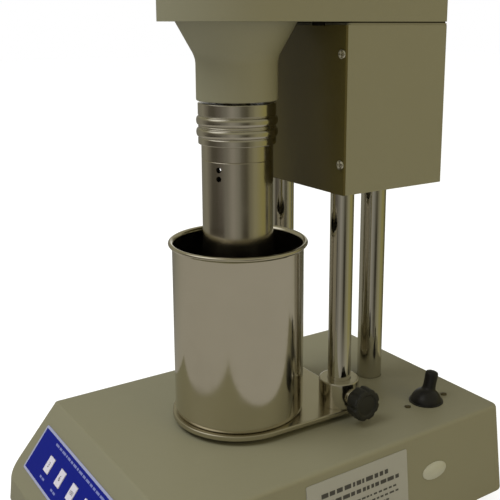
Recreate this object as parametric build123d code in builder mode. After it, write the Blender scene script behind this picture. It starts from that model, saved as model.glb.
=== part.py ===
from build123d import *
import math
import os

os.makedirs("parts", exist_ok=True)

# Sizes are in millimetres. X runs to the right, Y to the back, Z up.
# The origin is the middle of the base's outline, on the surface under the feet.

# Clearances
running_fit = 0.05
slip_gap = 0.2
screw_gap = 0.05
soft_gap = 0.3

# Base housing
base_length = 264.2
base_width = 170.6
base_height = 55.2
wall_lean = 5.5
base_corner = 10.0
base_edge = 2.5
base_sheet = 2.0
slope_setback = 32.6
lip_height = 13.7
bottom_thickness = 1.5
bottom_slot_length = 24.0
bottom_slot_width = 3.0
bottom_slot_pitch = 8.0
bottom_slot_count = 7
bottom_slot_setback = 60.0
boss_radius = 4.5
boss_from_foot_x = 3.0
boss_from_foot_y = 28.8

# Feet
foot_height = 8.0
foot_radius = 9.0
foot_inset_x = 11.3
foot_inset_y = 27.3
foot_recess_depth = 4.0
foot_recess_radius = 4.4
foot_draft = 0.1

# Screws of the base, cover and chassis
m4_radius = 2.0
m4_head_radius = 3.6
m4_head_height = 2.2
m4_length = 10.0
m4_nut_width = 7.0
m4_nut_height = 3.0
m6_radius = 3.0
m6_head_radius = 5.0
m6_head_height = 6.0
m6_grip = 15.0
tapping_margin = 1.0

# Columns
rotor_from_rear = 145.3
front_column_radius = 6.9
rear_column_radius = 8.05
column_spread = 29.8
front_column_behind = 52.6
rear_column_behind = 102.8
column_clear = 136.3
column_chamfer = 0.6
anchor_thickness = 4.0
anchor_notch_x = 2.0
anchor_notch_y = 12.0
anchor_margin = 13.0
spigot_radius = 6.0
spigot_bore = 3.5
spigot_spare = 3.0
spigot_nut_width = 19.0
spigot_nut_height = 6.0

# Motor housing behind the rotor
box_height = 94.0
box_half_width = 40.4
box_front_behind = 44.5
box_rear_behind = 122.5
box_floor = 3.0
box_sheet = 2.0
box_corner = 3.0
flange_width = 9.0
flange_thickness = 1.5
cover_thickness = 1.5
cover_screw_inset_x = 2.8
cover_screw_inset_top = 15.5
cover_screw_inset_bottom = 17.3
cover_screw_radius = 1.25
cover_screw_head_radius = 2.6
cover_screw_head_height = 1.6
cover_screw_length = 5.0

# Head
gasket_height = 1.9
gasket_inset = 3.0
gasket_width = 3.0
head_height = 70.0
head_sheet = 2.0
nose_ahead = 43.7
head_edge = 5.0
head_corner = 3.0
chassis_thickness = 4.0
head_boss_radius = 4.0
head_boss_behind = 34.0
head_boss_rear_inset = 9.0
head_boss_wall_gap = 5.0

# Neck
neck_length = 42.7
neck_radius = 22.8
flare_radius = 33.6
flare_height = 19.5
flare_blend = 12.0
neck_lip_height = 2.3
neck_lip_bore = 12.0
neck_screw_circle = 25.0
neck_screw_count = 4
neck_screw_first_angle = 45.0

# Spindle and its bearings
spindle_radius = 7.5
web_gap = 0.5
spindle_bore = 4.8
spindle_shoulder = 9.5
bearing_radius = 16.0
bearing_width = 9.0
seat_step = 1.5

# Ring collar
neck_gap = 1.2
collar_length = 22.9
collar_radius = 22.0
collar_ring_rise = 0.9
collar_ring_half = 1.75
upper_ring_down = 10.4
lower_ring_down = 16.5
collar_edge = 0.5
socket_radius = 17.0
socket_depth = 8.0

# Rotor sleeve
sleeve_length = 67.1
sleeve_radius = 20.3
sleeve_bore = 18.415
sleeve_web = 3.0
line_up = 58.4
line_depth = 0.25
line_width = 0.6
vent_radius = 1.6
vent_below_line = 4.1
vent_pitch = 5.0
vent_count = 3
vent_first_angle = -62.5

# Bob and its shaft
bob_radius = 17.245
bob_height = 38.0
bob_rise = 6.0
bob_cone = 9.0
bob_cone_radius = 7.0
bob_foot_chamfer = 1.0
shaft_radius = 3.175
shaft_grip = 15.0
small_bearing_radius = 4.76
small_bearing_width = 3.2
small_bearing_inset = 1.5

# Belt drive
pulley_radius = 19.0
pulley_bore_grip = 0.02
pulley_lift = 4.0
belt_width = 9.0
pulley_flange = 1.0
flange_rise = 2.4
belt_thickness = 1.6
belt_gap = 0.3
speed_ratio = 2.0
motor_behind = 75.5
motor_radius = 17.5
motor_length = 60.0
motor_shaft_radius = 3.0
motor_shaft_depth = 12.0
motor_pilot_radius = 11.0
motor_screw_circle = 14.0
motor_screw_radius = 1.5
motor_screw_length = 9.0

# Dial over the spindle
bridge_lift = 6.0
bridge_thickness = 3.0
bridge_radius = 33.0
bridge_post_radius = 3.0
bridge_post_x = 28.0
bridge_post_y = 12.0
bridge_boss_radius = 6.0
bridge_boss_height = 4.0
spring_wire = 0.6
spring_radius = 9.0
spring_pitch = 2.2
spring_turns = 6
dial_radius = 30.0
dial_thickness = 1.2
dial_hub_radius = 6.0
dial_under_roof = 10.0
shaft_above_dial = 2.0
pointer_width = 3.0
pointer_thickness = 1.2
pointer_overlap = 3.5
pointer_gap = 0.8

# Window and cap on the head
window_ahead = 24.0
window_radius = 10.0
bezel_radius = 12.5
bezel_wall = 0.9
bezel_height = 3.0
bezel_depth = 4.0
lens_thickness = 3.0
cap_radius = 9.0
cap_height = 3.6
cap_spigot_radius = 7.0
cap_spigot_length = 3.5

# Stage and sample cup
stage_gap = 2.9
stage_thickness = 3.0
stage_radius = 40.0
guide_radius = 12.2
guide_height = 15.9
guide_edge = 0.6
clamp_height = 7.4
clamp_boss_radius = 4.6
clamp_boss_length = 1.6
clamp_screw_radius = 2.5
knob_radius = 9.7
knob_thickness = 8.0
knob_from_guide = 6.5
knob_lobes = 8
lobe_share = 0.55
knob_lobe_depth = 0.9
knob_neck_radius = 5.0
knob_neck_length = 2.5
knob_grip = 5.0
cup_radius = 38.2
cup_wall = 1.0
cup_height = 103.2
cup_rim_bead = 1.5
cup_foot_round = 2.5

# Key panel on the slope
panel_length = 140.6
panel_width = 28.3
panel_down = 27.1
panel_thickness = 0.6
panel_corner = 1.5
key_pitch = 17.8
key_names = ["key_3", "key_6", "key_100", "key_200", "key_300", "key_600"]
key_down = 28.0
key_width = 7.0
key_height = 9.2
key_proud = 0.5
key_stem = 3.5
key_flange = 1.0
key_flange_height = 1.0
key_travel = 0.6
switch_side = 6.0
switch_height = 4.3
key_board_length = 118.0
key_board_width = 20.0
board_thickness = 1.6
key_post_radius = 2.5
key_post_spread = 54.0

# Toggle switch on the base top
toggle_from_side = 34.5
toggle_behind = 105.8
toggle_sphere = 10.0
toggle_sink = 1.5
boot_wall = 1.2
boot_open_angle = 40.0
toggle_cap_wall = 1.2
toggle_cap_angle = 52.0
toggle_stem_radius = 3.7
toggle_stem_length = 19.0
toggle_lean = 13.0
toggle_bush_radius = 6.0
toggle_bush_height = 1.5
toggle_well_radius = 4.2
toggle_well_depth = 3.5
toggle_rod_radius = 2.0
toggle_rod_below = 2.0
toggle_pin_radius = 1.0
toggle_pin_length = 11.0
toggle_tip_round = 1.6
toggle_body_x = 17.0
toggle_ear_x = 8.0
toggle_ear_y = 9.0
toggle_ear_height = 2.0
toggle_body_y = 26.0
toggle_body_z = 20.0
toggle_screw_spread = 15.5
toggle_screw_radius = 1.4
toggle_screw_head = 2.4
toggle_screw_height = 0.9

# Plates on the right side
label_behind = 25.8
label_length = 71.0
label_corner = 1.0
label_height = 40.0
label_down = 5.5
label_thickness = 0.4
oval_behind = 82.8
oval_down = 25.2
oval_length = 18.8
oval_height = 14.5

# Mains inlet and fuse holder on the rear wall
inlet_x = -30.0
inlet_down = 27.0
inlet_flange_length = 40.0
inlet_flange_corner = 3.0
inlet_mouth_corner = 2.0
inlet_flange_height = 24.0
inlet_flange_thickness = 2.5
inlet_body_length = 27.5
inlet_body_height = 20.5
inlet_body_depth = 18.0
inlet_mouth_length = 24.5
inlet_mouth_height = 17.0
inlet_mouth_depth = 15.5
pin_spread = 7.0
pin_rise = 4.5
pin_thickness = 2.0
pin_height = 4.0
pin_length = 13.0
fuse_x = 12.0
fuse_radius = 6.0
fuse_flange_radius = 8.5
fuse_flange_thickness = 1.2
fuse_cap_radius = 5.5
fuse_cap_height = 2.6
fuse_depth = 24.0
fuse_slot = 1.0

# Boards and transformer inside the base
standoff_height = 8.0
standoff_radius = 3.0
board_length = 100.0
board_depth = 76.0
board_y = -32.0
board_hole_inset = 5.0
connector_length = 12.0
connector_depth = 8.0
connector_height = 8.0
capacitor_radius = 6.0
capacitor_height = 18.0
capacitor_front = 10.0
capacitor_behind = 8.0
heat_sink_length = 24.0
heat_sink_depth = 10.0
heat_sink_height = 20.0
transformer_from_side = 41.3
transformer_from_rear = 66.1
core_length = 42.0
core_depth = 18.0
core_height = 35.0
coil_length = 26.0
coil_depth = 32.0
coil_height = 22.0
lead_radius = 2.2
lead_bends = [5.0, 7.0, 22.0]
lead_drop = 12.0

# Places worked out from the sizes above
floor_z = foot_height
top_z = floor_z + base_height
half_length = base_length / 2
half_width = base_width / 2
lean_angle = math.degrees(math.atan2(wall_lean, base_height))
lean_slant = math.hypot(wall_lean, base_height)
inner_top_z = top_z - base_sheet
rotor_y = half_length - rotor_from_rear
toggle_x = half_width - toggle_from_side
front_column_y = rotor_y + front_column_behind
rear_column_y = rotor_y + rear_column_behind
box_bottom_z = top_z + column_clear
box_top_z = box_bottom_z + box_height
box_front_y = rotor_y + box_front_behind
box_rear_y = rotor_y + box_rear_behind
head_bottom_z = box_top_z + gasket_height
head_top_z = head_bottom_z + head_height
roof_z = head_top_z - head_sheet
chassis_top_z = head_bottom_z + chassis_thickness
neck_bottom_z = head_bottom_z - neck_length
collar_top_z = neck_bottom_z - neck_gap
collar_bottom_z = collar_top_z - collar_length
sleeve_bottom_z = collar_bottom_z - sleeve_length
bob_bottom_z = sleeve_bottom_z + bob_rise
bob_top_z = bob_bottom_z + bob_height
stage_bottom_z = top_z + stage_gap
stage_top_z = stage_bottom_z + stage_thickness
pulley_bottom_z = chassis_top_z + pulley_lift
spindle_top_z = pulley_bottom_z + belt_width + 2 * pulley_flange + seat_step
bridge_z = spindle_top_z + bridge_lift
dial_z = roof_z - dial_under_roof
motor_y = rotor_y + motor_behind
front_column_points = [(-column_spread, front_column_y), (column_spread, front_column_y)]

# Planes that the sloped and leaning faces lie in
slope_top_y = -half_length + slope_setback
lip_y = -half_length + lip_height * wall_lean / base_height
slope_run = slope_top_y - lip_y
slope_drop = base_height - lip_height
slope_size = math.hypot(slope_run, slope_drop)
slope_normal = (0, -slope_drop / slope_size, slope_run / slope_size)
slope_plane = Plane(origin=(0, slope_top_y, top_z), x_dir=(1, 0, 0), z_dir=slope_normal)
slope_axis = Axis((0, slope_top_y, top_z), slope_normal)
lean_out = base_height / lean_slant
lean_up = wall_lean / lean_slant
side_plane = Plane(
    origin=(half_width - wall_lean, rotor_y, top_z), x_dir=(0, 1, 0), z_dir=(lean_out, 0, lean_up)
)
rear_plane = Plane(
    origin=(0, half_length - wall_lean, top_z), x_dir=(-1, 0, 0), z_dir=(0, lean_out, lean_up)
)
rotor_section = Plane(origin=(0, rotor_y, 0), x_dir=(1, 0, 0), z_dir=(0, -1, 0))
rotor_axis = Axis((0, rotor_y, 0), (0, 0, 1))


def upright(points, z, radius, height, mode=Mode.ADD):
    """Cylinders of one radius at plan points, from height z upwards."""
    with BuildSketch(Plane.XY.offset(z)) as rounds:
        with Locations(*points):
            Circle(radius)
    extrude(rounds.sketch, amount=height, mode=mode)


def block(x, y, z, size_x, size_y, size_z, mode=Mode.ADD):
    """A block centred at x and y in plan, from height z upwards."""
    with BuildSketch(Plane.XY.offset(z)) as outline:
        with Locations((x, y)):
            Rectangle(size_x, size_y)
    extrude(outline.sketch, amount=size_z, mode=mode)


def turned(profile):
    """A solid turned about the rotor's axis from (radius, height) corners."""
    with BuildSketch(rotor_section) as section:
        with BuildLine():
            Polyline(*profile, close=True)
        make_face()
    revolve(section.sketch, axis=rotor_axis)


def cap_screw(x, y, seat_z, radius, head_radius, head_height, length, up):
    """A screw whose head bears on seat_z and whose shank runs up or down from there."""
    if up:
        upright([(x, y)], seat_z - head_height, head_radius, head_height)
        upright([(x, y)], seat_z, radius, length)
    else:
        upright([(x, y)], seat_z, head_radius, head_height)
        upright([(x, y)], seat_z - length, radius, length)


def housing_form(inset, below=0.0):
    """The base's drafted wedge with each face moved in by inset, open downwards if below is set."""
    side_inset = inset * lean_slant / base_height
    drop = below * wall_lean / base_height
    with BuildPart() as form:
        with BuildSketch(Plane.XY.offset(floor_z - below)):
            RectangleRounded(
                base_width + 2 * drop - 2 * side_inset,
                base_length + 2 * drop - 2 * side_inset,
                base_corner - inset,
            )
        extrude(amount=base_height + below - inset, taper=lean_angle)
        with BuildSketch(slope_plane.offset(-inset)):
            Rectangle(2 * base_width, 4 * slope_size)
        extrude(amount=base_height, mode=Mode.SUBTRACT)
    return form.part


def head_outline(inset):
    """The head's plan: straight sides, a half-round nose and small rear corners."""
    nose_y = rotor_y - nose_ahead + box_half_width
    radius = box_half_width - inset
    rear_y = box_rear_y - inset
    with BuildSketch() as plan:
        with BuildLine():
            Line((radius, nose_y), (radius, rear_y))
            Line((radius, rear_y), (-radius, rear_y))
            Line((-radius, rear_y), (-radius, nose_y))
            ThreePointArc((-radius, nose_y), (0, nose_y - radius), (radius, nose_y))
        make_face()
        fillet(plan.vertices().group_by(Axis.Y)[-1], head_corner)
    return plan.sketch


# Base housing: a drafted sheet shell with a sloped front, open below
foot_x = half_width - foot_inset_x
foot_y = half_length - foot_inset_y
boss_x = foot_x - boss_from_foot_x
boss_y = foot_y - boss_from_foot_y
boss_points = [(x, y) for x in (-boss_x, boss_x) for y in (-boss_y, 0, boss_y)]
boss_bottom_z = floor_z + bottom_thickness
key_post_points = [(x, -key_down) for x in (-key_post_spread, key_post_spread)]
key_board_face = base_sheet + key_stem - panel_thickness + key_travel + switch_height
key_xs = [(index - (len(key_names) - 1) / 2) * key_pitch for index in range(len(key_names))]
column_hole = front_column_radius + slip_gap
rear_column_hole = rear_column_radius + slip_gap
toggle_y = rotor_y + toggle_behind
toggle_screw_points = [(toggle_x, toggle_y + side * toggle_screw_spread) for side in (-1, 1)]

with BuildPart() as base_bosses:
    upright(boss_points, boss_bottom_z, boss_radius, base_height)
    add(housing_form(base_sheet / 2), mode=Mode.INTERSECT)

with BuildPart() as base_housing:
    add(housing_form(0))
    fillet(base_housing.edges().filter_by_position(Axis.Z, floor_z + lip_height - 1, top_z + 1), base_edge)
    add(housing_form(base_sheet, below=base_sheet), mode=Mode.SUBTRACT)
    add(base_bosses.part)
    upright(boss_points, boss_bottom_z, m4_radius + screw_gap, m4_length, mode=Mode.SUBTRACT)
    with BuildSketch(slope_plane.offset(-base_sheet / 2)):
        with Locations(*key_post_points):
            Circle(key_post_radius)
    extrude(amount=-(key_board_face - base_sheet / 2))
    with BuildSketch(slope_plane):
        with Locations(*[(x, -key_down) for x in key_xs]):
            Rectangle(key_width + 4 * slip_gap, key_height + 4 * slip_gap)
    extrude(amount=-2 * base_sheet, mode=Mode.SUBTRACT)
    upright(front_column_points, inner_top_z - 1, column_hole, base_sheet + 2, mode=Mode.SUBTRACT)
    upright([(0, rear_column_y)], inner_top_z - 1, rear_column_hole, base_sheet + 2, mode=Mode.SUBTRACT)
    upright([(toggle_x, toggle_y)], inner_top_z - 1, toggle_bush_radius + slip_gap, base_sheet + 2,
            mode=Mode.SUBTRACT)
    upright(toggle_screw_points, inner_top_z - 1, toggle_screw_radius + screw_gap, base_sheet + 2,
            mode=Mode.SUBTRACT)
    with BuildSketch(rear_plane.offset(1)):
        with Locations((-inlet_x, -inlet_down)):
            Rectangle(inlet_body_length + 2 * slip_gap, inlet_body_height + 2 * slip_gap)
        with Locations((-fuse_x, -inlet_down)):
            Circle(fuse_radius + slip_gap)
    extrude(amount=-2 * base_sheet, mode=Mode.SUBTRACT)
base_housing.part.label = "base_housing"
export_step(base_housing.part, "parts/base_housing.step")

# Bottom plate: closes the shell, carries the boards and the feet
plate_inset = (base_sheet * lean_slant + bottom_thickness * wall_lean) / base_height + slip_gap
foot_points = [(x, y) for x in (-foot_x, foot_x) for y in (-foot_y, foot_y)]
standoff_x = board_length / 2 - board_hole_inset
standoff_y = board_depth / 2 - board_hole_inset
standoff_points = [(x, board_y + y) for x in (-standoff_x, standoff_x) for y in (-standoff_y, standoff_y)]
plate_top_z = floor_z + bottom_thickness
bottom_slots = [
    (bottom_slot_pitch * (index - (bottom_slot_count - 1) / 2), foot_y - bottom_slot_setback)
    for index in range(bottom_slot_count)
]
with BuildPart() as bottom_plate:
    with BuildSketch(Plane.XY.offset(floor_z)):
        RectangleRounded(
            base_width - 2 * plate_inset,
            base_length - 2 * plate_inset,
            base_corner - base_sheet,
        )
        with Locations(*bottom_slots):
            SlotOverall(bottom_slot_length, bottom_slot_width, rotation=90, mode=Mode.SUBTRACT)
        with Locations(*boss_points, *foot_points):
            Circle(m4_radius + screw_gap, mode=Mode.SUBTRACT)
    extrude(amount=bottom_thickness)
    upright(standoff_points, plate_top_z, standoff_radius, standoff_height)
bottom_plate.part.label = "bottom_plate"
export_step(bottom_plate.part, "parts/bottom_plate.step")

# Rubber feet, each with a recess for its screw
with BuildPart() as rubber_feet:
    with BuildSketch():
        with Locations(*foot_points):
            Circle(foot_radius - foot_height * foot_draft)
    extrude(amount=foot_height, taper=-math.degrees(math.atan(foot_draft)))
    upright(foot_points, 0, foot_recess_radius, foot_recess_depth, mode=Mode.SUBTRACT)
    upright(foot_points, 0, m4_radius + screw_gap, foot_height, mode=Mode.SUBTRACT)
rubber_feet.part.label = "rubber_feet"
export_step(rubber_feet.part, "parts/rubber_feet.step")

# Fasteners of the bottom plate and the feet: pan screws, and a nut over each foot
foot_screw_length = foot_height - foot_recess_depth + bottom_thickness + m4_nut_height
with BuildPart() as base_fasteners:
    for x, y in boss_points:
        cap_screw(x, y, floor_z, m4_radius, m4_head_radius, m4_head_height, m4_length, True)
    for x, y in foot_points:
        cap_screw(x, y, foot_recess_depth, m4_radius, m4_head_radius, m4_head_height, foot_screw_length, True)
    with BuildSketch(Plane.XY.offset(plate_top_z)):
        with Locations(*foot_points):
            RegularPolygon(m4_nut_width / 2, 6, major_radius=False)
            Circle(m4_radius + screw_gap, mode=Mode.SUBTRACT)
    extrude(amount=m4_nut_height)
base_fasteners.part.label = "base_fasteners"
export_step(base_fasteners.part, "parts/base_fasteners.step")

# Anchor plate under the base top, which the columns stand on
anchor_front_y = front_column_y - anchor_margin
anchor_rear_y = rear_column_y + anchor_margin
anchor_bottom_z = inner_top_z - anchor_thickness
with BuildPart() as anchor_plate:
    with BuildSketch(Plane.XY.offset(anchor_bottom_z)):
        with Locations((0, (anchor_front_y + anchor_rear_y) / 2)):
            Rectangle(2 * (column_spread + anchor_margin), anchor_rear_y - anchor_front_y)
        with Locations((toggle_x, toggle_y)):
            Rectangle(
                toggle_body_x + 2 * anchor_notch_x,
                toggle_body_y + 2 * anchor_notch_y,
                mode=Mode.SUBTRACT,
            )
        with Locations(*front_column_points):
            Circle(m6_radius + screw_gap, mode=Mode.SUBTRACT)
        with Locations((0, rear_column_y)):
            Circle(spigot_radius + screw_gap, mode=Mode.SUBTRACT)
    extrude(amount=anchor_thickness)
anchor_plate.part.label = "anchor_plate"
export_step(anchor_plate.part, "parts/anchor_plate.step")

# Front columns: solid chromed rods, tapped at both ends
column_bottom_z = inner_top_z
column_length = box_bottom_z - column_bottom_z
tapping_depth = m6_grip + tapping_margin
for column_name, column_x in (("column_left", -column_spread), ("column_right", column_spread)):
    with BuildPart() as front_column:
        upright([(column_x, front_column_y)], column_bottom_z, front_column_radius, column_length)
        chamfer(front_column.edges().filter_by(GeomType.CIRCLE), column_chamfer)
        upright([(column_x, front_column_y)], column_bottom_z, m6_radius + screw_gap, tapping_depth,
                mode=Mode.SUBTRACT)
        upright([(column_x, front_column_y)], box_bottom_z - tapping_depth, m6_radius + screw_gap,
                tapping_depth, mode=Mode.SUBTRACT)
    front_column.part.label = column_name
    export_step(front_column.part, f"parts/{column_name}.step")

# Rear column: a hollow chromed tube with a threaded spigot at each end
spigot_low_z = anchor_bottom_z - spigot_nut_height - spigot_spare
spigot_high_z = box_bottom_z + box_floor + spigot_nut_height + spigot_spare
rear_point = [(0, rear_column_y)]
with BuildPart() as column_rear:
    upright(rear_point, column_bottom_z, rear_column_radius, column_length)
    chamfer(column_rear.edges().filter_by(GeomType.CIRCLE), column_chamfer)
    upright(rear_point, spigot_low_z, spigot_radius, spigot_high_z - spigot_low_z)
    upright(rear_point, spigot_low_z, spigot_bore, spigot_high_z - spigot_low_z, mode=Mode.SUBTRACT)
column_rear.part.label = "column_rear"
export_step(column_rear.part, "parts/column_rear.step")

# Fasteners of the columns: four cap screws and the two nuts of the rear column
box_floor_top_z = box_bottom_z + box_floor
with BuildPart() as column_fasteners:
    for x, y in front_column_points:
        cap_screw(x, y, anchor_bottom_z, m6_radius, m6_head_radius, m6_head_height,
                  anchor_thickness + m6_grip, True)
        cap_screw(x, y, box_floor_top_z, m6_radius, m6_head_radius, m6_head_height,
                  box_floor + m6_grip, False)
    for nut_z in (anchor_bottom_z - spigot_nut_height, box_floor_top_z):
        with BuildSketch(Plane.XY.offset(nut_z)):
            with Locations((0, rear_column_y)):
                RegularPolygon(spigot_nut_width / 2, 6, major_radius=False)
                Circle(spigot_radius + screw_gap, mode=Mode.SUBTRACT)
        extrude(amount=spigot_nut_height)
column_fasteners.part.label = "column_fasteners"
export_step(column_fasteners.part, "parts/column_fasteners.step")

# Key panel: a thin film on the slope with a window for each key
key_points = [(x, -key_down) for x in key_xs]
with BuildPart() as key_panel:
    with BuildSketch(slope_plane):
        with Locations((0, -panel_down)):
            RectangleRounded(panel_length, panel_width, panel_corner)
        with Locations(*key_points):
            Rectangle(key_width + 2 * slip_gap, key_height + 2 * slip_gap, mode=Mode.SUBTRACT)
    extrude(amount=panel_thickness)
key_panel.part.label = "key_panel"
export_step(key_panel.part, "parts/key_panel.step")

# Keys: each a cap with a flange that holds it behind the sheet
flange_face = -(base_sheet + slip_gap)
key_foot = flange_face - key_flange_height
for key_name, key_x in zip(key_names, key_xs):
    with BuildPart() as key:
        with BuildSketch(slope_plane.offset(key_foot)):
            with Locations((key_x, -key_down)):
                Rectangle(
                    key_width + 4 * slip_gap + 2 * key_flange,
                    key_height + 4 * slip_gap + 2 * key_flange,
                )
        extrude(amount=key_flange_height)
        with BuildSketch(slope_plane.offset(flange_face)):
            with Locations((key_x, -key_down)):
                Rectangle(key_width, key_height)
        extrude(amount=panel_thickness + key_proud - flange_face)
        chamfer(key.faces().sort_by(slope_axis)[-1].edges(), key_proud / 2)
    key.part.label = key_name
    export_step(key.part, f"parts/{key_name}.step")

# Key board: a circuit board behind the slope with one switch under each key
board_face = -key_board_face
with BuildPart() as key_board:
    with BuildSketch(slope_plane.offset(board_face)):
        with Locations((0, -key_down)):
            Rectangle(key_board_length, key_board_width)
    extrude(amount=-board_thickness)
    with BuildSketch(slope_plane.offset(board_face)):
        with Locations(*key_points):
            Rectangle(switch_side, switch_side)
    extrude(amount=key_foot - key_travel - 2 * screw_gap - board_face)
key_board.part.label = "key_board"
export_step(key_board.part, "parts/key_board.step")

# Control board on the bottom plate's standoffs
board_z = plate_top_z + standoff_height
board_top_z = board_z + board_thickness
board_rear_y = board_y + board_depth / 2
with BuildPart() as control_board:
    block(0, board_y, board_z, board_length, board_depth, board_thickness)
    block(0, board_rear_y - connector_depth / 2, board_top_z, connector_length, connector_depth,
          connector_height)
    block(-board_length / 4, board_y, board_top_z, heat_sink_length, heat_sink_depth, heat_sink_height)
    capacitor_points = [
        (board_length / 4, board_y - capacitor_front),
        (board_length / 4, board_y + capacitor_behind),
    ]
    upright(capacitor_points, board_top_z, capacitor_radius, capacitor_height)
control_board.part.label = "control_board"
export_step(control_board.part, "parts/control_board.step")

# Mains transformer: a laminated core with a coil round its middle limb
limb_length = core_length / 3
window_length = (coil_length - limb_length) / 2
window_z = plate_top_z + (core_height - coil_height) / 2
transformer_x = transformer_from_side - half_width
transformer_y = half_length - transformer_from_rear
with BuildPart() as transformer_coil:
    block(transformer_x, transformer_y, window_z + slip_gap, coil_length - 2 * slip_gap, coil_depth,
          coil_height - 2 * slip_gap)
    block(transformer_x, transformer_y, window_z + slip_gap, limb_length + 2 * slip_gap,
          core_depth + 2 * slip_gap, coil_height - 2 * slip_gap, mode=Mode.SUBTRACT)
with BuildPart() as transformer:
    block(transformer_x, transformer_y, plate_top_z, core_length, core_depth, core_height)
    for side in (-1, 1):
        block(transformer_x + side * (limb_length + window_length) / 2, transformer_y, window_z,
              window_length, core_depth, coil_height, mode=Mode.SUBTRACT)
    add(transformer_coil.part)
transformer.part.label = "transformer"
export_step(transformer.part, "parts/transformer.step")

# Mains inlet: a flanged socket in the rear wall, with three pins through its floor
mouth_floor = inlet_flange_thickness - inlet_mouth_depth
pin_places = [
    (-inlet_x - pin_spread, -inlet_down),
    (-inlet_x + pin_spread, -inlet_down),
    (-inlet_x, -inlet_down + pin_rise),
]
with BuildPart() as inlet_pins:
    with BuildSketch(rear_plane.offset(-inlet_body_depth)):
        with Locations(*pin_places):
            Rectangle(pin_thickness, pin_height)
    extrude(amount=inlet_body_depth + mouth_floor + pin_length)
with BuildPart() as power_inlet:
    with BuildSketch(rear_plane):
        with Locations((-inlet_x, -inlet_down)):
            RectangleRounded(inlet_flange_length, inlet_flange_height, inlet_flange_corner)
    extrude(amount=inlet_flange_thickness)
    with BuildSketch(rear_plane):
        with Locations((-inlet_x, -inlet_down)):
            Rectangle(inlet_body_length, inlet_body_height)
    extrude(amount=-inlet_body_depth)
    with BuildSketch(rear_plane.offset(inlet_flange_thickness)):
        with Locations((-inlet_x, -inlet_down)):
            RectangleRounded(inlet_mouth_length, inlet_mouth_height, inlet_mouth_corner)
    extrude(amount=-inlet_mouth_depth, mode=Mode.SUBTRACT)
    with BuildSketch(rear_plane):
        with Locations(*pin_places):
            Rectangle(pin_thickness + 2 * screw_gap, pin_height + 2 * screw_gap)
    extrude(amount=-inlet_body_depth, mode=Mode.SUBTRACT)
    add(inlet_pins.part)
power_inlet.part.label = "power_inlet"
export_step(power_inlet.part, "parts/power_inlet.step")

# Fuse holder beside the inlet, with a slotted cap
with BuildPart() as fuse_holder:
    with BuildSketch(rear_plane):
        with Locations((-fuse_x, -inlet_down)):
            Circle(fuse_flange_radius)
    extrude(amount=fuse_flange_thickness)
    with BuildSketch(rear_plane):
        with Locations((-fuse_x, -inlet_down)):
            Circle(fuse_radius)
    extrude(amount=-fuse_depth)
    with BuildSketch(rear_plane.offset(fuse_flange_thickness)):
        with Locations((-fuse_x, -inlet_down)):
            Circle(fuse_cap_radius)
    extrude(amount=fuse_cap_height - fuse_flange_thickness)
    with BuildSketch(rear_plane.offset(fuse_cap_height)):
        with Locations((-fuse_x, -inlet_down)):
            Rectangle(2 * fuse_cap_radius, fuse_slot)
    extrude(amount=-fuse_slot, mode=Mode.SUBTRACT)
fuse_holder.part.label = "fuse_holder"
export_step(fuse_holder.part, "parts/fuse_holder.step")

# Toggle switch: body and bored bush, rubber boot above, leaning lever on a cross pin
toggle_pivot_z = top_z - toggle_sink
with BuildPart() as toggle_body:
    block(toggle_x, toggle_y, inner_top_z - toggle_body_z, toggle_body_x, toggle_body_y, toggle_body_z)
    upright([(toggle_x, toggle_y)], inner_top_z, toggle_bush_radius, base_sheet + toggle_bush_height)
    for screw_x, screw_y in toggle_screw_points:
        block(screw_x, screw_y, inner_top_z - toggle_ear_height, toggle_ear_x, toggle_ear_y,
              toggle_ear_height)
    upright(toggle_screw_points, inner_top_z - toggle_ear_height, toggle_screw_radius + screw_gap,
            toggle_ear_height, mode=Mode.SUBTRACT)
    upright([(toggle_x, toggle_y)], toggle_pivot_z - toggle_well_depth, toggle_well_radius,
            toggle_well_depth + toggle_sink + toggle_bush_height, mode=Mode.SUBTRACT)
    with BuildSketch(Plane.YZ.offset(toggle_x - toggle_bush_radius)):
        with Locations((toggle_y, toggle_pivot_z)):
            Circle(toggle_pin_radius + running_fit)
    extrude(amount=2 * toggle_bush_radius, mode=Mode.SUBTRACT)
toggle_body.part.label = "toggle_body"
export_step(toggle_body.part, "parts/toggle_body.step")

with BuildPart() as toggle_screws:
    for screw_x, screw_y in toggle_screw_points:
        cap_screw(screw_x, screw_y, top_z, toggle_screw_radius, toggle_screw_head, toggle_screw_height,
                  base_sheet + toggle_ear_height, False)
toggle_screws.part.label = "toggle_screws"
export_step(toggle_screws.part, "parts/toggle_screws.step")

toggle_section = Plane(origin=(toggle_x, toggle_y, toggle_pivot_z), x_dir=(1, 0, 0), z_dir=(0, -1, 0))
toggle_axis = Axis((toggle_x, toggle_y, 0), (0, 0, 1))


def polar(radius, angle):
    """The point of a section at an angle in degrees from the upright."""
    return (radius * math.sin(math.radians(angle)), radius * math.cos(math.radians(angle)))


def dome_band(outer, inner, low_angle, high_angle):
    """The section of a spherical band between two angles from the upright."""
    middle = (low_angle + high_angle) / 2
    with BuildSketch() as band:
        with BuildLine():
            ThreePointArc(polar(outer, high_angle), polar(outer, middle), polar(outer, low_angle))
            Line(polar(outer, low_angle), polar(inner, low_angle))
            ThreePointArc(polar(inner, low_angle), polar(inner, middle), polar(inner, high_angle))
            Line(polar(inner, high_angle), polar(outer, high_angle))
        make_face()
    return band.sketch


boot_foot_angle = math.degrees(math.acos(toggle_sink / toggle_sphere))
with BuildPart() as toggle_boot:
    with BuildSketch(toggle_section):
        add(dome_band(toggle_sphere, toggle_sphere - boot_wall, boot_open_angle, boot_foot_angle))
    revolve(axis=toggle_axis)
    block(toggle_x, toggle_y, toggle_pivot_z - toggle_sphere, 3 * toggle_sphere, 3 * toggle_sphere,
          toggle_sphere + toggle_sink, mode=Mode.SUBTRACT)
toggle_boot.part.label = "toggle_boot"
export_step(toggle_boot.part, "parts/toggle_boot.step")

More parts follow.
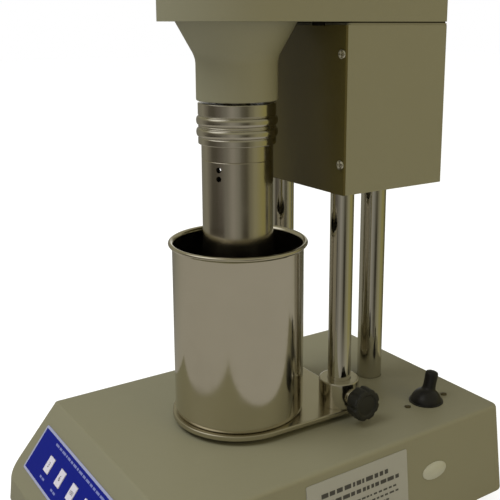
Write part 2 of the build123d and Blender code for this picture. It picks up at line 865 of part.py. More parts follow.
lean = math.radians(toggle_lean)
lever_plane = Plane(
    origin=(toggle_x, toggle_y, toggle_pivot_z), x_dir=(1, 0, 0), z_dir=(0, math.sin(lean), math.cos(lean))
)
cap_outer = toggle_sphere - boot_wall - soft_gap
cap_inner = cap_outer - toggle_cap_wall
lever_section = Plane(
    origin=lever_plane.origin, x_dir=(1, 0, 0), z_dir=(0, -math.cos(lean), math.sin(lean))
)
with BuildPart() as toggle_lever:
    with BuildSketch(lever_section):
        add(dome_band(cap_outer, cap_inner, 0.01, toggle_cap_angle))
    revolve(axis=Axis(lever_plane.origin, lever_plane.z_dir))
    with BuildSketch(lever_plane.offset(cap_inner)):
        Circle(toggle_stem_radius)
    extrude(amount=toggle_stem_length + toggle_sink - cap_inner)
    fillet(toggle_lever.edges().sort_by(Axis(lever_plane.origin, lever_plane.z_dir))[-1], toggle_tip_round)
    with BuildSketch(lever_plane.offset(-toggle_rod_below)):
        Circle(toggle_rod_radius)
    extrude(amount=toggle_rod_below + cap_inner + toggle_cap_wall / 2)
    with BuildSketch(Plane.YZ.offset(toggle_x - toggle_pin_length / 2)):
        with Locations((toggle_y, toggle_pivot_z)):
            Circle(toggle_pin_radius)
    extrude(amount=toggle_pin_length)
toggle_lever.part.label = "toggle_lever"
export_step(toggle_lever.part, "parts/toggle_lever.step")

# Rating plate and oval sticker on the right side
with BuildPart() as side_label:
    with BuildSketch(side_plane):
        with Locations((label_behind, -label_down - label_height / 2)):
            RectangleRounded(label_length, label_height, label_corner)
    extrude(amount=label_thickness)
side_label.part.label = "side_label"
export_step(side_label.part, "parts/side_label.step")

with BuildPart() as oval_sticker:
    with BuildSketch(side_plane):
        with Locations((oval_behind, -oval_down)):
            Ellipse(oval_length / 2, oval_height / 2)
    extrude(amount=label_thickness)
oval_sticker.part.label = "oval_sticker"
export_step(oval_sticker.part, "parts/oval_sticker.step")

# Motor housing: a folded sheet box, open in front and on top, with flanges for its covers
shell_front_y = box_front_y + cover_thickness
shell_depth = box_rear_y - shell_front_y
shell_mid_y = (shell_front_y + box_rear_y) / 2
cover_screw_x = box_half_width - cover_screw_inset_x
cover_screw_points = [
    (x, z)
    for x in (-cover_screw_x, cover_screw_x)
    for z in (box_bottom_z + cover_screw_inset_bottom, box_top_z - cover_screw_inset_top)
]
with BuildPart() as motor_housing:
    with BuildSketch(Plane.XY.offset(box_bottom_z)) as shell_plan:
        with Locations((0, shell_mid_y)):
            Rectangle(2 * box_half_width, shell_depth)
        fillet(shell_plan.vertices().group_by(Axis.Y)[-1], box_corner)
    extrude(amount=box_height)
    block(0, shell_mid_y + (flange_thickness - box_sheet) / 2, box_floor_top_z,
          2 * (box_half_width - box_sheet), shell_depth - flange_thickness - box_sheet, box_height,
          mode=Mode.SUBTRACT)
    with BuildSketch(Plane.XZ.offset(-shell_front_y)):
        with Locations((0, box_floor_top_z + box_height / 2)):
            Rectangle(2 * (box_half_width - flange_width), box_height)
    extrude(amount=-2 * box_sheet, mode=Mode.SUBTRACT)
    with BuildSketch(Plane.XZ.offset(-shell_front_y)):
        with Locations(*cover_screw_points):
            Circle(cover_screw_radius + screw_gap)
    extrude(amount=-2 * box_sheet, mode=Mode.SUBTRACT)
    upright(front_column_points, box_bottom_z, m6_radius + screw_gap, box_floor, mode=Mode.SUBTRACT)
    upright(rear_point, box_bottom_z, spigot_radius + screw_gap, box_floor, mode=Mode.SUBTRACT)
motor_housing.part.label = "motor_housing"
export_step(motor_housing.part, "parts/motor_housing.step")

# Dark front cover of the motor housing and its screws
with BuildPart() as motor_cover:
    with BuildSketch(Plane.XZ.offset(-shell_front_y)):
        with Locations((0, box_bottom_z + box_height / 2)):
            Rectangle(2 * box_half_width, box_height)
        with Locations(*cover_screw_points):
            Circle(cover_screw_radius + screw_gap, mode=Mode.SUBTRACT)
    extrude(amount=cover_thickness)
motor_cover.part.label = "motor_cover"
export_step(motor_cover.part, "parts/motor_cover.step")

with BuildPart() as cover_screws:
    with BuildSketch(Plane.XZ.offset(-box_front_y)):
        with Locations(*cover_screw_points):
            Circle(cover_screw_head_radius)
    extrude(amount=cover_screw_head_height)
    fillet(cover_screws.edges().group_by(Axis.Y)[0], cover_screw_head_height * 0.6)
    with BuildSketch(Plane.XZ.offset(-box_front_y)):
        with Locations(*cover_screw_points):
            Circle(cover_screw_radius)
    extrude(amount=-cover_screw_length)
cover_screws.part.label = "cover_screws"
export_step(cover_screws.part, "parts/cover_screws.step")

# Gasket in the dark gap between motor housing and head
gasket_mid_y = (box_front_y + box_rear_y) / 2
gasket_length = box_rear_y - box_front_y - 2 * gasket_inset
gasket_breadth = 2 * (box_half_width - gasket_inset)
with BuildPart() as head_gasket:
    with BuildSketch(Plane.XY.offset(box_top_z)):
        with Locations((0, gasket_mid_y)):
            Rectangle(gasket_breadth, gasket_length)
            Rectangle(gasket_breadth - 2 * gasket_width, gasket_length - 2 * gasket_width, mode=Mode.SUBTRACT)
    extrude(amount=gasket_height)
head_gasket.part.label = "head_gasket"
export_step(head_gasket.part, "parts/head_gasket.step")

# Chassis plate: the floor of the head, which carries neck, motor and drive
head_boss_x = box_half_width - head_sheet - head_boss_radius - head_boss_wall_gap
head_boss_points = [
    (x, y)
    for x in (-head_boss_x, head_boss_x)
    for y in (rotor_y + head_boss_behind, box_rear_y - head_sheet - head_boss_rear_inset)
]
neck_screw_points = [
    (
        neck_screw_circle * math.cos(math.radians(neck_screw_first_angle + 360 * index / neck_screw_count)),
        rotor_y
        + neck_screw_circle * math.sin(math.radians(neck_screw_first_angle + 360 * index / neck_screw_count)),
    )
    for index in range(neck_screw_count)
]
motor_screw_points = [
    (-motor_screw_circle, motor_y),
    (motor_screw_circle, motor_y),
    (0, motor_y - motor_screw_circle),
    (0, motor_y + motor_screw_circle),
]
spindle_hole = (bearing_radius + spindle_shoulder) / 2
with BuildPart() as chassis_plate:
    chassis_outline = head_outline(head_sheet + slip_gap)
    extrude(chassis_outline.moved(Location((0, 0, head_bottom_z))), amount=chassis_thickness)
    upright([(0, rotor_y)], head_bottom_z, spindle_hole, chassis_thickness, mode=Mode.SUBTRACT)
    pilot_hole = motor_pilot_radius + screw_gap
    upright([(0, motor_y)], head_bottom_z, pilot_hole, chassis_thickness, mode=Mode.SUBTRACT)
    upright(head_boss_points, head_bottom_z, m4_radius + screw_gap, chassis_thickness, mode=Mode.SUBTRACT)
    upright(neck_screw_points, head_bottom_z, m4_radius + screw_gap, chassis_thickness, mode=Mode.SUBTRACT)
    upright(motor_screw_points, head_bottom_z, motor_screw_radius + screw_gap, chassis_thickness,
            mode=Mode.SUBTRACT)
chassis_plate.part.label = "chassis_plate"
export_step(chassis_plate.part, "parts/chassis_plate.step")

# Head cover: the painted shell over the drive, with the window and the cap hole in its roof
window_y = rotor_y - window_ahead
with BuildPart() as head_cover:
    extrude(head_outline(0).moved(Location((0, 0, head_bottom_z))), amount=head_height)
    fillet(head_cover.edges().group_by(Axis.Z)[-1], head_edge)
    extrude(head_outline(head_sheet).moved(Location((0, 0, head_bottom_z))), amount=head_height - head_sheet,
            mode=Mode.SUBTRACT)
    upright(head_boss_points, chassis_top_z, head_boss_radius, roof_z - chassis_top_z + head_sheet / 2)
    upright(head_boss_points, chassis_top_z, m4_radius + screw_gap, m4_length, mode=Mode.SUBTRACT)
    upright([(0, window_y)], roof_z - 1, window_radius + bezel_wall + slip_gap, head_sheet + 2,
            mode=Mode.SUBTRACT)
    upright([(0, rotor_y)], roof_z - 1, cap_spigot_radius + slip_gap, head_sheet + 2, mode=Mode.SUBTRACT)
head_cover.part.label = "head_cover"
export_step(head_cover.part, "parts/head_cover.step")

# Screws of the chassis: head bosses from below, neck flange and motor from above
with BuildPart() as chassis_screws:
    for x, y in head_boss_points:
        cap_screw(x, y, head_bottom_z, m4_radius, m4_head_radius, m4_head_height,
                  chassis_thickness + m4_length - 1, True)
    for x, y in neck_screw_points:
        cap_screw(x, y, chassis_top_z, m4_radius, m4_head_radius, m4_head_height,
                  chassis_thickness + m4_length - 1, False)
    for x, y in motor_screw_points:
        cap_screw(x, y, chassis_top_z, motor_screw_radius, 2 * motor_screw_radius, motor_screw_radius,
                  motor_screw_length - 2 * screw_gap, False)
chassis_screws.part.label = "chassis_screws"
export_step(chassis_screws.part, "parts/chassis_screws.step")

# Neck: a flared casting that holds the spindle's two bearings
seat_radius = bearing_radius + slip_gap / 4
lower_seat_z = neck_bottom_z + neck_lip_height
upper_seat_z = head_bottom_z - bearing_width
flare_z = head_bottom_z - flare_height
with BuildPart() as neck_housing:
    with BuildSketch(rotor_section) as neck_section:
        with BuildLine():
            Polyline(
                (neck_lip_bore, neck_bottom_z),
                (neck_radius, neck_bottom_z),
                (neck_radius, flare_z),
                (flare_radius, head_bottom_z),
                (seat_radius, head_bottom_z),
                (seat_radius, upper_seat_z),
                (seat_radius - seat_step, upper_seat_z),
                (seat_radius - seat_step, lower_seat_z + bearing_width),
                (seat_radius, lower_seat_z + bearing_width),
                (seat_radius, lower_seat_z),
                (neck_lip_bore, lower_seat_z),
                close=True,
            )
        make_face()
        fillet(neck_section.vertices().sort_by_distance((neck_radius, flare_z))[0], flare_blend)
    revolve(axis=rotor_axis)
    neck_screw_foot = head_bottom_z - m4_length
    upright(neck_screw_points, neck_screw_foot, m4_radius + screw_gap, m4_length, mode=Mode.SUBTRACT)
neck_housing.part.label = "neck_housing"
export_step(neck_housing.part, "parts/neck_housing.step")

# Spindle bearings: two sealed ball bearings, each drawn as one ring
journal = spindle_radius + running_fit
with BuildPart() as spindle_bearings:
    for seat_z in (lower_seat_z, upper_seat_z):
        upright([(0, rotor_y)], seat_z, bearing_radius, bearing_width)
        upright([(0, rotor_y)], seat_z, journal, bearing_width, mode=Mode.SUBTRACT)
spindle_bearings.part.label = "spindle_bearings"
export_step(spindle_bearings.part, "parts/spindle_bearings.step")

# Spindle: a hollow shaft, stepped between its bearings
spindle_bottom_z = collar_bottom_z + socket_depth
shoulder_low_z = lower_seat_z + bearing_width + 2 * running_fit
shoulder_high_z = upper_seat_z - 2 * running_fit
with BuildPart() as spindle:
    turned([
        (spindle_bore, spindle_bottom_z),
        (spindle_radius, spindle_bottom_z),
        (spindle_radius, shoulder_low_z),
        (spindle_shoulder, shoulder_low_z),
        (spindle_shoulder, shoulder_high_z),
        (spindle_radius, shoulder_high_z),
        (spindle_radius, spindle_top_z),
        (spindle_bore, spindle_top_z),
    ])
spindle.part.label = "spindle"
export_step(spindle.part, "parts/spindle.step")

# Ring collar: screws on the spindle and holds the sleeve
with BuildPart() as ring_collar:
    turned([
        (spindle_radius + pulley_bore_grip, spindle_bottom_z),
        (spindle_radius + pulley_bore_grip, collar_top_z),
        (collar_radius - collar_edge, collar_top_z),
        (collar_radius, collar_top_z - collar_edge),
        (collar_radius, collar_bottom_z + collar_edge),
        (collar_radius - collar_edge, collar_bottom_z),
        (socket_radius, collar_bottom_z),
        (socket_radius, spindle_bottom_z),
    ])
    for ring_down in (upper_ring_down, lower_ring_down):
        ring_z = collar_top_z - ring_down
        with BuildSketch(rotor_section) as ring_section:
            with BuildLine():
                ThreePointArc(
                    (collar_radius - collar_edge, ring_z - collar_ring_half),
                    (collar_radius + collar_ring_rise, ring_z),
                    (collar_radius - collar_edge, ring_z + collar_ring_half),
                )
                Line(
                    (collar_radius - collar_edge, ring_z + collar_ring_half),
                    (collar_radius - collar_edge, ring_z - collar_ring_half),
                )
            make_face()
        revolve(ring_section.sketch, axis=rotor_axis)
ring_collar.part.label = "ring_collar"
export_step(ring_collar.part, "parts/ring_collar.step")

# Rotor sleeve: a thin cylinder open below, with a scribed line and vent holes
line_z = sleeve_bottom_z + line_up
spigot_top_z = collar_bottom_z + socket_depth - 2 * screw_gap
web_bore = spindle_radius + web_gap
with BuildPart() as rotor_sleeve:
    turned([
        (sleeve_bore, sleeve_bottom_z),
        (sleeve_radius, sleeve_bottom_z),
        (sleeve_radius, line_z - line_width / 2),
        (sleeve_radius - line_depth, line_z),
        (sleeve_radius, line_z + line_width / 2),
        (sleeve_radius, collar_bottom_z),
        (socket_radius - screw_gap, collar_bottom_z),
        (socket_radius - screw_gap, spigot_top_z),
        (web_bore, spigot_top_z),
        (web_bore, collar_bottom_z - sleeve_web),
        (sleeve_bore, collar_bottom_z - sleeve_web),
    ])
    for index in range(vent_count):
        vent_angle = math.radians(vent_first_angle + 360 * index / vent_count)
        outward = (math.cos(vent_angle), math.sin(vent_angle), 0)
        for vent_down in (vent_below_line, vent_below_line + vent_pitch):
            with BuildSketch(Plane(origin=(0, rotor_y, line_z - vent_down), z_dir=outward)) as vent:
                Circle(vent_radius)
            extrude(vent.sketch, amount=2 * sleeve_radius, mode=Mode.SUBTRACT)
rotor_sleeve.part.label = "rotor_sleeve"
export_step(rotor_sleeve.part, "parts/rotor_sleeve.step")

# Bob: the measuring cylinder inside the sleeve
with BuildPart() as bob:
    turned([
        (0, bob_bottom_z),
        (bob_radius - bob_foot_chamfer, bob_bottom_z),
        (bob_radius, bob_bottom_z + bob_foot_chamfer),
        (bob_radius, bob_top_z),
        (bob_cone_radius, bob_top_z + bob_cone),
        (0, bob_top_z + bob_cone),
    ])
    upright([(0, rotor_y)], bob_top_z + bob_cone - shaft_grip, shaft_radius + pulley_bore_grip, shaft_grip,
            mode=Mode.SUBTRACT)
bob.part.label = "bob"
export_step(bob.part, "parts/bob.step")

# Bob shaft: runs up through the spindle to the dial
shaft_bottom_z = bob_top_z + bob_cone - shaft_grip
shaft_top_z = dial_z + dial_thickness + shaft_above_dial
with BuildPart() as bob_shaft:
    upright([(0, rotor_y)], shaft_bottom_z, shaft_radius, shaft_top_z - shaft_bottom_z)
bob_shaft.part.label = "bob_shaft"
export_step(bob_shaft.part, "parts/bob_shaft.step")

# Small bearings of the bob shaft, one at each end of the spindle's bore
with BuildPart() as shaft_bearings:
    for seat_z in (
        spindle_bottom_z + small_bearing_inset,
        spindle_top_z - small_bearing_inset - small_bearing_width,
    ):
        upright([(0, rotor_y)], seat_z, small_bearing_radius, small_bearing_width)
        upright([(0, rotor_y)], seat_z, shaft_radius + running_fit, small_bearing_width, mode=Mode.SUBTRACT)
shaft_bearings.part.label = "shaft_bearings"
export_step(shaft_bearings.part, "parts/shaft_bearings.step")


def pulley(x, y, radius, bore):
    """A flanged belt pulley with its axis upright."""
    height = belt_width + 2 * pulley_flange
    upright([(x, y)], pulley_bottom_z, radius, height)
    upright([(x, y)], pulley_bottom_z, radius + flange_rise, pulley_flange)
    upright([(x, y)], pulley_bottom_z + height - pulley_flange, radius + flange_rise, pulley_flange)
    if bore:
        upright([(x, y)], pulley_bottom_z, bore, height, mode=Mode.SUBTRACT)


# Spindle pulley
with BuildPart() as spindle_pulley:
    pulley(0, rotor_y, pulley_radius, spindle_radius + pulley_bore_grip)
spindle_pulley.part.label = "spindle_pulley"
export_step(spindle_pulley.part, "parts/spindle_pulley.step")

# Motor under the chassis plate, and the pulley pressed on its shaft
motor_bottom_z = head_bottom_z - motor_length
with BuildPart() as motor:
    upright([(0, motor_y)], motor_bottom_z, motor_radius, motor_length)
    upright([(0, motor_y)], head_bottom_z, motor_pilot_radius, chassis_thickness / 2)
    upright([(0, motor_y)], head_bottom_z - motor_shaft_depth, motor_shaft_radius + running_fit,
            motor_shaft_depth + chassis_thickness, mode=Mode.SUBTRACT)
    upright(motor_screw_points, head_bottom_z - motor_screw_length + chassis_thickness,
            motor_screw_radius + screw_gap, motor_screw_length, mode=Mode.SUBTRACT)
motor.part.label = "motor"
export_step(motor.part, "parts/motor.step")

motor_pulley_radius = pulley_radius / speed_ratio
with BuildPart() as motor_pulley:
    pulley(0, motor_y, motor_pulley_radius, 0)
    shaft_low_z = head_bottom_z - motor_shaft_depth + 2 * running_fit
    upright([(0, motor_y)], shaft_low_z, motor_shaft_radius, pulley_bottom_z - shaft_low_z)
motor_pulley.part.label = "motor_pulley"
export_step(motor_pulley.part, "parts/motor_pulley.step")


def belt_loop(gap):
    """The belt's plan: the hull of the two pulleys, set out by gap."""
    with BuildSketch(Plane.XY.offset(pulley_bottom_z + pulley_flange + running_fit)) as loop:
        with Locations((0, rotor_y)):
            Circle(pulley_radius + gap)
        with Locations((0, motor_y)):
            Circle(motor_pulley_radius + gap)
        make_hull()
    return loop.sketch


# Timing belt round the two pulleys
with BuildPart() as timing_belt:
    extrude(belt_loop(belt_gap + belt_thickness), amount=belt_width - 2 * running_fit)
    extrude(belt_loop(belt_gap), amount=belt_width - 2 * running_fit, mode=Mode.SUBTRACT)
timing_belt.part.label = "timing_belt"
export_step(timing_belt.part, "parts/timing_belt.step")

# Motor lead: runs down through the rear column to the control board
lead_y = motor_y + motor_radius / 2
lead_high_z = motor_bottom_z - lead_drop
lead_low_z = board_top_z + connector_height / 2
lead_points = [
    (0, lead_y, motor_bottom_z),
    (0, lead_y, lead_high_z),
    (0, rear_column_y, lead_high_z),
    (0, rear_column_y, lead_low_z),
    (0, board_rear_y, lead_low_z),
]
with BuildPart() as motor_lead:
    with BuildLine() as lead_path:
        FilletPolyline(*lead_points, radius=lead_bends)
    with BuildSketch(Plane(origin=lead_points[0], z_dir=(0, 0, -1))):
        Circle(lead_radius)
    sweep(path=lead_path.wires()[0])
motor_lead.part.label = "motor_lead"
export_step(motor_lead.part, "parts/motor_lead.step")
print("motor lead bends:", lead_bends)

# Dial bridge: a plate on four posts over the pulley, with the shaft's top bearing
post_points = [
    (x, rotor_y + y)
    for x in (-bridge_post_x, bridge_post_x)
    for y in (-bridge_post_y, bridge_post_y)
]
bridge_top_z = bridge_z + bridge_thickness
with BuildPart() as dial_bridge:
    upright([(0, rotor_y)], bridge_z, bridge_radius, bridge_thickness)
    upright([(0, rotor_y)], bridge_top_z, bridge_boss_radius, bridge_boss_height)
    upright(post_points, chassis_top_z, bridge_post_radius, bridge_z - chassis_top_z)
    upright([(0, rotor_y)], bridge_z, shaft_radius + running_fit, bridge_thickness + bridge_boss_height,
            mode=Mode.SUBTRACT)
dial_bridge.part.label = "dial_bridge"
export_step(dial_bridge.part, "parts/dial_bridge.step")

# Torsion spring between the bridge and the dial hub
spring_z = bridge_top_z + spring_wire + soft_gap
with BuildPart() as torsion_spring:
    with BuildLine(Plane(origin=(0, rotor_y, spring_z))) as coil:
        Helix(spring_pitch, spring_pitch * spring_turns, spring_radius)
    coil_start = coil.edges()[0]
    with BuildSketch(Plane(origin=coil_start @ 0, z_dir=coil_start % 0)):
        Circle(spring_wire)
    sweep(path=coil_start, is_frenet=True)
torsion_spring.part.label = "torsion_spring"
export_step(torsion_spring.part, "parts/torsion_spring.step")

# Dial: a disc on the bob shaft, read through the window
hub_bottom_z = bridge_top_z + bridge_boss_height + 2 * soft_gap
with BuildPart() as dial:
    upright([(0, rotor_y)], dial_z, dial_radius, dial_thickness)
    upright([(0, rotor_y)], hub_bottom_z, dial_hub_radius, dial_z - hub_bottom_z)
    hub_height = dial_z + dial_thickness - hub_bottom_z
    upright([(0, rotor_y)], hub_bottom_z, shaft_radius + pulley_bore_grip, hub_height, mode=Mode.SUBTRACT)
dial.part.label = "dial"
export_step(dial.part, "parts/dial.step")

# Index pointer: rises from the bridge and reaches over the dial's edge
pointer_y = rotor_y - dial_radius - soft_gap * 2 - pointer_thickness / 2
pointer_top_z = dial_z + dial_thickness + pointer_gap + pointer_thickness
with BuildPart() as index_pointer:
    block(0, pointer_y, bridge_top_z, pointer_width, pointer_thickness, pointer_top_z - bridge_top_z)
    block(0, pointer_y + pointer_overlap / 2, pointer_top_z - pointer_thickness, pointer_width / 3,
          pointer_overlap + pointer_thickness, pointer_thickness)
index_pointer.part.label = "index_pointer"
export_step(index_pointer.part, "parts/index_pointer.step")

# Window bezel and magnifying lens in the head's roof
with BuildPart() as window_bezel:
    upright([(0, window_y)], head_top_z, bezel_radius, bezel_height)
    fillet(window_bezel.edges().group_by(Axis.Z)[-1], bezel_height / 3)
    upright([(0, window_y)], head_top_z - bezel_depth, window_radius + bezel_wall, bezel_depth)
    upright([(0, window_y)], head_top_z - bezel_depth, window_radius, bezel_depth + bezel_height,
            mode=Mode.SUBTRACT)
window_bezel.part.label = "window_bezel"
export_step(window_bezel.part, "parts/window_bezel.step")

with BuildPart() as window_lens:
    upright([(0, window_y)], head_top_z - bezel_depth / 2, window_radius - screw_gap, lens_thickness)
    fillet(window_lens.edges().group_by(Axis.Z)[-1], lens_thickness / 3)
window_lens.part.label = "window_lens"
export_step(window_lens.part, "parts/window_lens.step")

# Cap over the spring adjustment
with BuildPart() as top_cap:
    upright([(0, rotor_y)], head_top_z, cap_radius, cap_height)
    fillet(top_cap.edges().group_by(Axis.Z)[-1], cap_height / 4)
    upright([(0, rotor_y)], head_top_z - cap_spigot_length, cap_spigot_radius, cap_spigot_length)
top_cap.part.label = "top_cap"
export_step(top_cap.part, "parts/top_cap.step")

# Stage: a plate under the cup, running back to its two guide collars
guide_bore = front_column_radius + running_fit
with BuildPart() as stage_plate:
    with BuildSketch(Plane.XY.offset(stage_bottom_z)) as stage_plan:
        with Locations((0, rotor_y)):
            Circle(stage_radius)
        with Locations(*front_column_points):
            Circle(guide_radius)
        make_hull()
        with Locations(*front_column_points):
            Circle(guide_bore, mode=Mode.SUBTRACT)
    extrude(amount=stage_thickness)
stage_plate.part.label = "stage_plate"
export_step(stage_plate.part, "parts/stage_plate.step")

# Guide collars on the stage; the right one takes the clamp screw
clamp_z = stage_top_z + clamp_height
for guide_name, guide_x in (("guide_collar_left", -column_spread), ("guide_collar_right", column_spread)):
    with BuildPart() as guide_collar:
        upright([(guide_x, front_column_y)], stage_top_z, guide_radius, guide_height)
        chamfer(guide_collar.edges().group_by(Axis.Z)[-1], guide_edge)
        if guide_x > 0:
            with BuildSketch(Plane.YZ.offset(guide_x)) as clamp_boss:
                with Locations((front_column_y, clamp_z)):
                    Circle(clamp_boss_radius)
            extrude(clamp_boss.sketch, amount=guide_radius + clamp_boss_length)
            with BuildSketch(Plane.YZ.offset(guide_x)) as clamp_hole:
                with Locations((front_column_y, clamp_z)):
                    Circle(clamp_screw_radius + running_fit)
            extrude(clamp_hole.sketch, amount=2 * guide_radius, mode=Mode.SUBTRACT)
        upright([(guide_x, front_column_y)], stage_top_z, guide_bore, guide_height, mode=Mode.SUBTRACT)
    guide_collar.part.label = guide_name
    export_step(guide_collar.part, f"parts/{guide_name}.step")

# Clamp screw and its lobed knob, on the right collar
knob_back_x = column_spread + guide_radius + knob_from_guide
screw_tip_x = column_spread + front_column_radius + soft_gap
with BuildPart() as clamp_screw:
    with BuildSketch(Plane.YZ.offset(screw_tip_x)):
        with Locations((front_column_y, clamp_z)):
            Circle(clamp_screw_radius)
    extrude(amount=knob_back_x + knob_grip - screw_tip_x)
clamp_screw.part.label = "clamp_screw"
export_step(clamp_screw.part, "parts/clamp_screw.step")

lobe_cut_radius = knob_radius * math.sin(math.pi / knob_lobes) * lobe_share
with BuildPart() as clamp_knob:
    with BuildSketch(Plane.YZ.offset(knob_back_x)):
        with Locations((front_column_y, clamp_z)):
            Circle(knob_radius)
            with PolarLocations(knob_radius + lobe_cut_radius - knob_lobe_depth, knob_lobes):
                Circle(lobe_cut_radius, mode=Mode.SUBTRACT)
    extrude(amount=knob_thickness)
    fillet(clamp_knob.faces().sort_by(Axis.X)[-1].edges(), knob_thickness / 8)
    with BuildSketch(Plane.YZ.offset(knob_back_x - knob_neck_length)):
        with Locations((front_column_y, clamp_z)):
            Circle(knob_neck_radius)
    extrude(amount=knob_neck_length)
    with BuildSketch(Plane.YZ.offset(knob_back_x - knob_neck_length)):
        with Locations((front_column_y, clamp_z)):
            Circle(clamp_screw_radius + pulley_bore_grip)
    extrude(amount=knob_neck_length + knob_grip, mode=Mode.SUBTRACT)
clamp_knob.part.label = "clamp_knob"
export_step(clamp_knob.part, "parts/clamp_knob.step")

# Sample cup: thin stainless wall, rounded foot and rolled rim
cup_inner = cup_radius - cup_wall
bead_radius = cup_radius + cup_rim_bead - cup_wall / 2
bead_z = stage_top_z + cup_height - cup_rim_bead
with BuildPart() as sample_cup:
    with BuildSketch(rotor_section) as cup_section:
        with BuildLine():
            Polyline(
                (0, stage_top_z),
                (cup_radius, stage_top_z),
                (cup_radius, bead_z),
                (cup_inner, bead_z),
                (cup_inner, stage_top_z + cup_wall),
                (0, stage_top_z + cup_wall),
                close=True,
            )
        make_face()
        fillet(cup_section.vertices().sort_by_distance((cup_radius, stage_top_z))[0], cup_foot_round)
        fillet(
            cup_section.vertices().sort_by_distance((cup_inner, stage_top_z + cup_wall))[0],
            cup_foot_round - cup_wall,
        )
        with Locations((bead_radius, bead_z)):
            Circle(cup_rim_bead)
    revolve(axis=rotor_axis)
sample_cup.part.label = "sample_cup"
export_step(sample_cup.part, "parts/sample_cup.step")
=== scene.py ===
import math

import bpy
import numpy as np
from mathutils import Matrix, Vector


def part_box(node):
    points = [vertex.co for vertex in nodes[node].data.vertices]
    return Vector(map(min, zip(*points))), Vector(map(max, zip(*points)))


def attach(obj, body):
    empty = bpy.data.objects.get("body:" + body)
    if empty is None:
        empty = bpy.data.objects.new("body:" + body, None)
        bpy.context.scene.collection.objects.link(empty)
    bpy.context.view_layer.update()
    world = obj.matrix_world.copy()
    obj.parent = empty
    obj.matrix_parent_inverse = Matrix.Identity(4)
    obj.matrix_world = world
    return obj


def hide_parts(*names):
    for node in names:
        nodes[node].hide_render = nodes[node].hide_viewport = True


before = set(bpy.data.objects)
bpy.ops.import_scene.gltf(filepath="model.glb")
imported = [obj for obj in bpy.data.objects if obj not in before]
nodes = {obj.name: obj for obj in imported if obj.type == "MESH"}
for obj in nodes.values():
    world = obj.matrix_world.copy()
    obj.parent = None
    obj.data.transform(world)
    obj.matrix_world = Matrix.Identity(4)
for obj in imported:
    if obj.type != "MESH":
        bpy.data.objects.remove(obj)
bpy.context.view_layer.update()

# Sizes are in millimetres, as in the part's source, and become metres when a mesh is made.
MM = 0.001
ROTOR_Y = -13.2
TOP_Z = 63.2
HALF_WIDTH = 85.3
BASE_HEIGHT = 55.2
WALL_LEAN = 5.5
SLOPE_TOP_Y = -99.5
SLOPE_NORMAL = np.array((0.0, -0.798983, 0.601354))
SLOPE_DOWN = np.array((0.0, -0.601354, -0.798983))
WALL_SLANT = math.hypot(WALL_LEAN, BASE_HEIGHT)
SIDE_NORMAL = np.array((BASE_HEIGHT, 0.0, WALL_LEAN)) / WALL_SLANT
SIDE_DOWN = np.array((WALL_LEAN, 0.0, -BASE_HEIGHT)) / WALL_SLANT
NECK_BOTTOM = 252.7
NECK_LEDGE = 255.0
NECK_FLARE = 275.9
NECK_RADIUS = 22.8
NECK_HEAD_RADIUS = 33.6
NECK_BORE = 12.0
NECK_SEAT = 16.05
HEAD_BOTTOM = 295.4
COLLAR_TOP = 251.5
COLLAR_BOTTOM = 228.6
COLLAR_RADIUS = 22.0
COLLAR_BORE = 7.52
SOCKET_RADIUS = 17.0
SOCKET_DEPTH = 8.0
RING_DOWNS = (9.8, 16.3)
RING_HALF = 2.3
RING_RISE = 1.0
STAGE_TOP = 69.1
STAGE_THICKNESS = 3.0
STAGE_RADIUS = 40.0
STAGE_EDGE = 0.7
CUP_RADIUS = 38.2
CUP_BORE = 37.2
CUP_FLOOR = 1.0
CUP_HEIGHT = 103.2
BEAD_CENTRE = 39.2
BEAD_RADIUS = 1.2
COLUMN_X = 29.8
COLUMN_Y = 39.4
GUIDE_RADIUS = 12.2
GUIDE_BORE = 6.95
GUIDE_TOP = 85.0
BOSS_RADIUS = 4.6
BOSS_BORE = 2.55
BOSS_REACH = 13.8
CLAMP_Z = 76.5
KNOB_BACK = 48.5
KNOB_DEPTH = 8.0
KNOB_RADIUS = 9.7
KNOB_FLUTES = 8
KNOB_FLUTE_DEPTH = 0.9
KNOB_NECK_LENGTH = 2.5
TOGGLE = np.array((50.8, 92.6, 61.7))
TOGGLE_LEAN = math.radians(13.0)
BOOT_BALL = 10.0
SWITCH_SCREW_SPREAD = 15.5
SWITCH_SCREW_RADIUS = 1.95
COVER_SCREW_RADIUS = 2.6
COVER_SCREW_LIFT = 1.6
KEY_NAMES = ["3", "6", "100", "200", "300", "600"]
KEY_PITCH = 17.8
KEY_DOWN = 28.0
KEY_FACE = 1.12
PANEL_FACE = 0.63
LABEL_DOWN = 5.5
LABEL_FACE = 0.43
OVAL_LENGTH = 18.8
OVAL_HEIGHT = 10.1
OVAL_BEHIND = 82.8
OVAL_DOWN = 25.2
SEAL_LIP = 1.0
SEAL_HEIGHT = 1.9
SEAL_WIDTH = 3.0
DIAL_FACE = 354.63
DIAL_TICKS = 60
DIAL_STEP = 5


# ---- meshes


def in_scene(name, data):
    """An object for a mesh, a lamp or a camera, linked into the scene."""
    made = bpy.data.objects.new(name, data)
    bpy.context.scene.collection.objects.link(made)
    return made


def put_mesh(name, points, faces, material, body, smooth=True, stands_for=()):
    """A mesh object from points in millimetres and lists of corner numbers, in place in its mesh."""
    mesh = bpy.data.meshes.new(name)
    mesh.from_pydata((np.asarray(points, float) * MM).tolist(), [], [list(map(int, f)) for f in faces])
    mesh.polygons.foreach_set("use_smooth", np.full(len(mesh.polygons), smooth))
    mesh.update()
    mesh.materials.append(material)
    piece = in_scene(name, mesh)
    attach(piece, body)
    if stands_for:
        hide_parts(*stands_for)
    return piece


def joined(parts):
    """One list of points and one of faces from several, with the corner numbers moved on."""
    points, faces, start = [], [], 0
    for part_points, part_faces in parts:
        points.append(np.asarray(part_points, float))
        faces += [[corner + start for corner in face] for face in part_faces]
        start += len(part_points)
    return np.concatenate(points), faces


